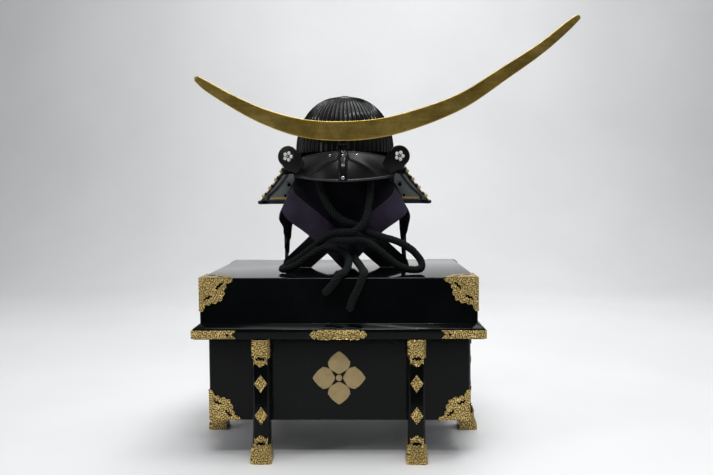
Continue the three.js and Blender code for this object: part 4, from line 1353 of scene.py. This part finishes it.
def make_cartouches(gilt):
    """The long plates in the middle of the flange's four sides."""
    half = [*CARTOUCHE_QUARTER, *[(x, -z) for x, z in reversed(CARTOUCHE_QUARTER[:-1])]]
    model = fitting_plate("cartouche", [*half, *[(-x, -z) for x, z in half]], 1.2, 1.0)
    for name, (reach, turn) in FLANGE_PLATES.items():
        place = Matrix.Translation(chest_point(0, 0, FLANGE_MIDDLE)) @ turned(turn, "Z")
        plate = copy_of(model, place @ moved(0, -reach - 0.3, 0))
        dress(plate, gilt, "gilt_brass", f"flange_plate_{name}")
    remove(model)


def make_chest(black, gilt, dark):
    for node in ("chest_box", "chest_lid"):
        dress(softened(node, 0.0012, 3), black, "black_lacquer", node, angle=25)
    for name in LEGS:
        dress(softened(f"leg_{name}", 0.0008), black, "black_lacquer", f"leg_{name}", angle=25)
        for cap in ("foot_cap", "top_cap"):
            dress(softened(f"{cap}_{name}", 0.0003), gilt, "gilt_brass", f"{cap}_{name}", angle=25)
    for place, (sx, sy) in CORNERS.items():
        lid = chest_point(sx * 285, sy * 210, 378)
        corner_fitting(f"lid_corner_{place}", gilt, dark, 69, lid, (sx, sy), 1, sy < 0)
        box = chest_point(sx * 270.5, sy * 197, 78.5)
        corner_fitting(f"box_corner_{place}", gilt, dark, 65, box, (sx, sy), -1, False)
        node = f"flange_corner_{place}"
        dress(softened(node, 0.0003), gilt, "gilt_brass", node, angle=25)
    make_cartouches(gilt)


# ---- all of it ----------------------------------------------------------------------


def make_looks():
    """The finishes that several pieces share."""
    looks = {
        "black": lacquer_look("black_lacquer", (0.0016, 0.0021, 0.0023)),
        "grey": lacquer_look("grey_lacquer", (0.12, 0.132, 0.13), 0.3, 0.1),
        "gilt": gilt_look("chased_gilt"),
        "iron": iron_look("satin_iron"),
        # Piping along the visor's and the ears' edges, coloured lighter than their leather: a painted
        # highlight on the rims.
        "painted_highlight_edge": painted_look("painted_highlight_edge", (0.013, 0.0135, 0.013), 0.3),
        "piping": painted_look("black_piping", (0.004, 0.004, 0.0045), 0.35),
        "laced": painted_look("dark_lacing", (0.006, 0.007, 0.011), 0.7),
        "stitch": painted_look("gold_thread", (0.55, 0.4, 0.13), 0.4),
        "ivory": painted_look("ivory_enamel", (0.93, 0.93, 0.9), 0.35),
        "navy": painted_look("navy_braid", (0.008, 0.008, 0.024), 0.8),
        "pierced": painted_look("pierced_dark", (0.0015, 0.0012, 0.001), 0.9),
    }
    looks["pierced"].set(Specular_IOR_Level=0.0)
    return looks


def make_fittings(look):
    """The chest with all that is nailed to it."""
    make_chest(look["black"], look["gilt"], look["pierced"])
    make_diamonds(look["gilt"])
    make_cap_tongues(look["gilt"])
    make_leg_piercings(look["pierced"])
    make_ornament(painted_look("flat_gold", (0.44, 0.325, 0.145), 0.45))


def make_helmet(look):
    steel = Look("polished_rivet", 0.14, 1.0, Base_Color=(0.42, 0.43, 0.44, 1))
    steel.set(Roughness=0.1 + 0.12 * steel.noise(steel.place(), 300))
    make_crest()
    make_bowl(look["iron"])
    make_crown(look["iron"])
    make_visor(leather_look("visor_leather", (0.005, 0.0052, 0.0052), 0.3), look["painted_highlight_edge"])
    make_holder(look["iron"])
    make_rivets(steel)
    fine_gilt = gilt_look("fine_gilt", cell=0.006, base=(0.62, 0.46, 0.19))
    make_lames(look["black"], look["grey"], fine_gilt, look["laced"])
    make_end_plates(look["grey"], look["piping"], look["pierced"], look["stitch"], look["navy"])
    make_hem(look["navy"])
    make_end_lacing(look["stitch"], look["ivory"], look["laced"])


def make_stand():
    for node in ("stand_board_across", "stand_board_along"):
        dress(softened(node, 0.0008), wood_look(node), "black_wood", node, angle=25)
    pad = painted_look("pad_cloth", (0.03, 0.03, 0.03), 0.9)
    dress(softened("stand_pad", 0.0015), pad, "pad_cloth", "stand_pad")


def main():
    set_camera()
    make_cord("chin_cord_half_left", CORD_FROM_LEFT, "chin_cord_left", "chin_cord_left_end")
    make_cord("chin_cord_half_right", CORD_FROM_RIGHT, "chin_cord_right", "chin_cord_right_end")
    set_lights()
    set_room()
    make_floor()
    look = make_looks()
    make_fittings(look)
    make_helmet(look)
    make_cloth()
    ear_leather = leather_look("ear_leather", (0.0028, 0.0026, 0.0025), 0.34, 330, 0.0006)
    make_ears(ear_leather, look["painted_highlight_edge"], look["ivory"], look["piping"])
    dress(softened("base_band", 0.0004), look["iron"], "black_iron", "base_band")
    make_stand()


main()
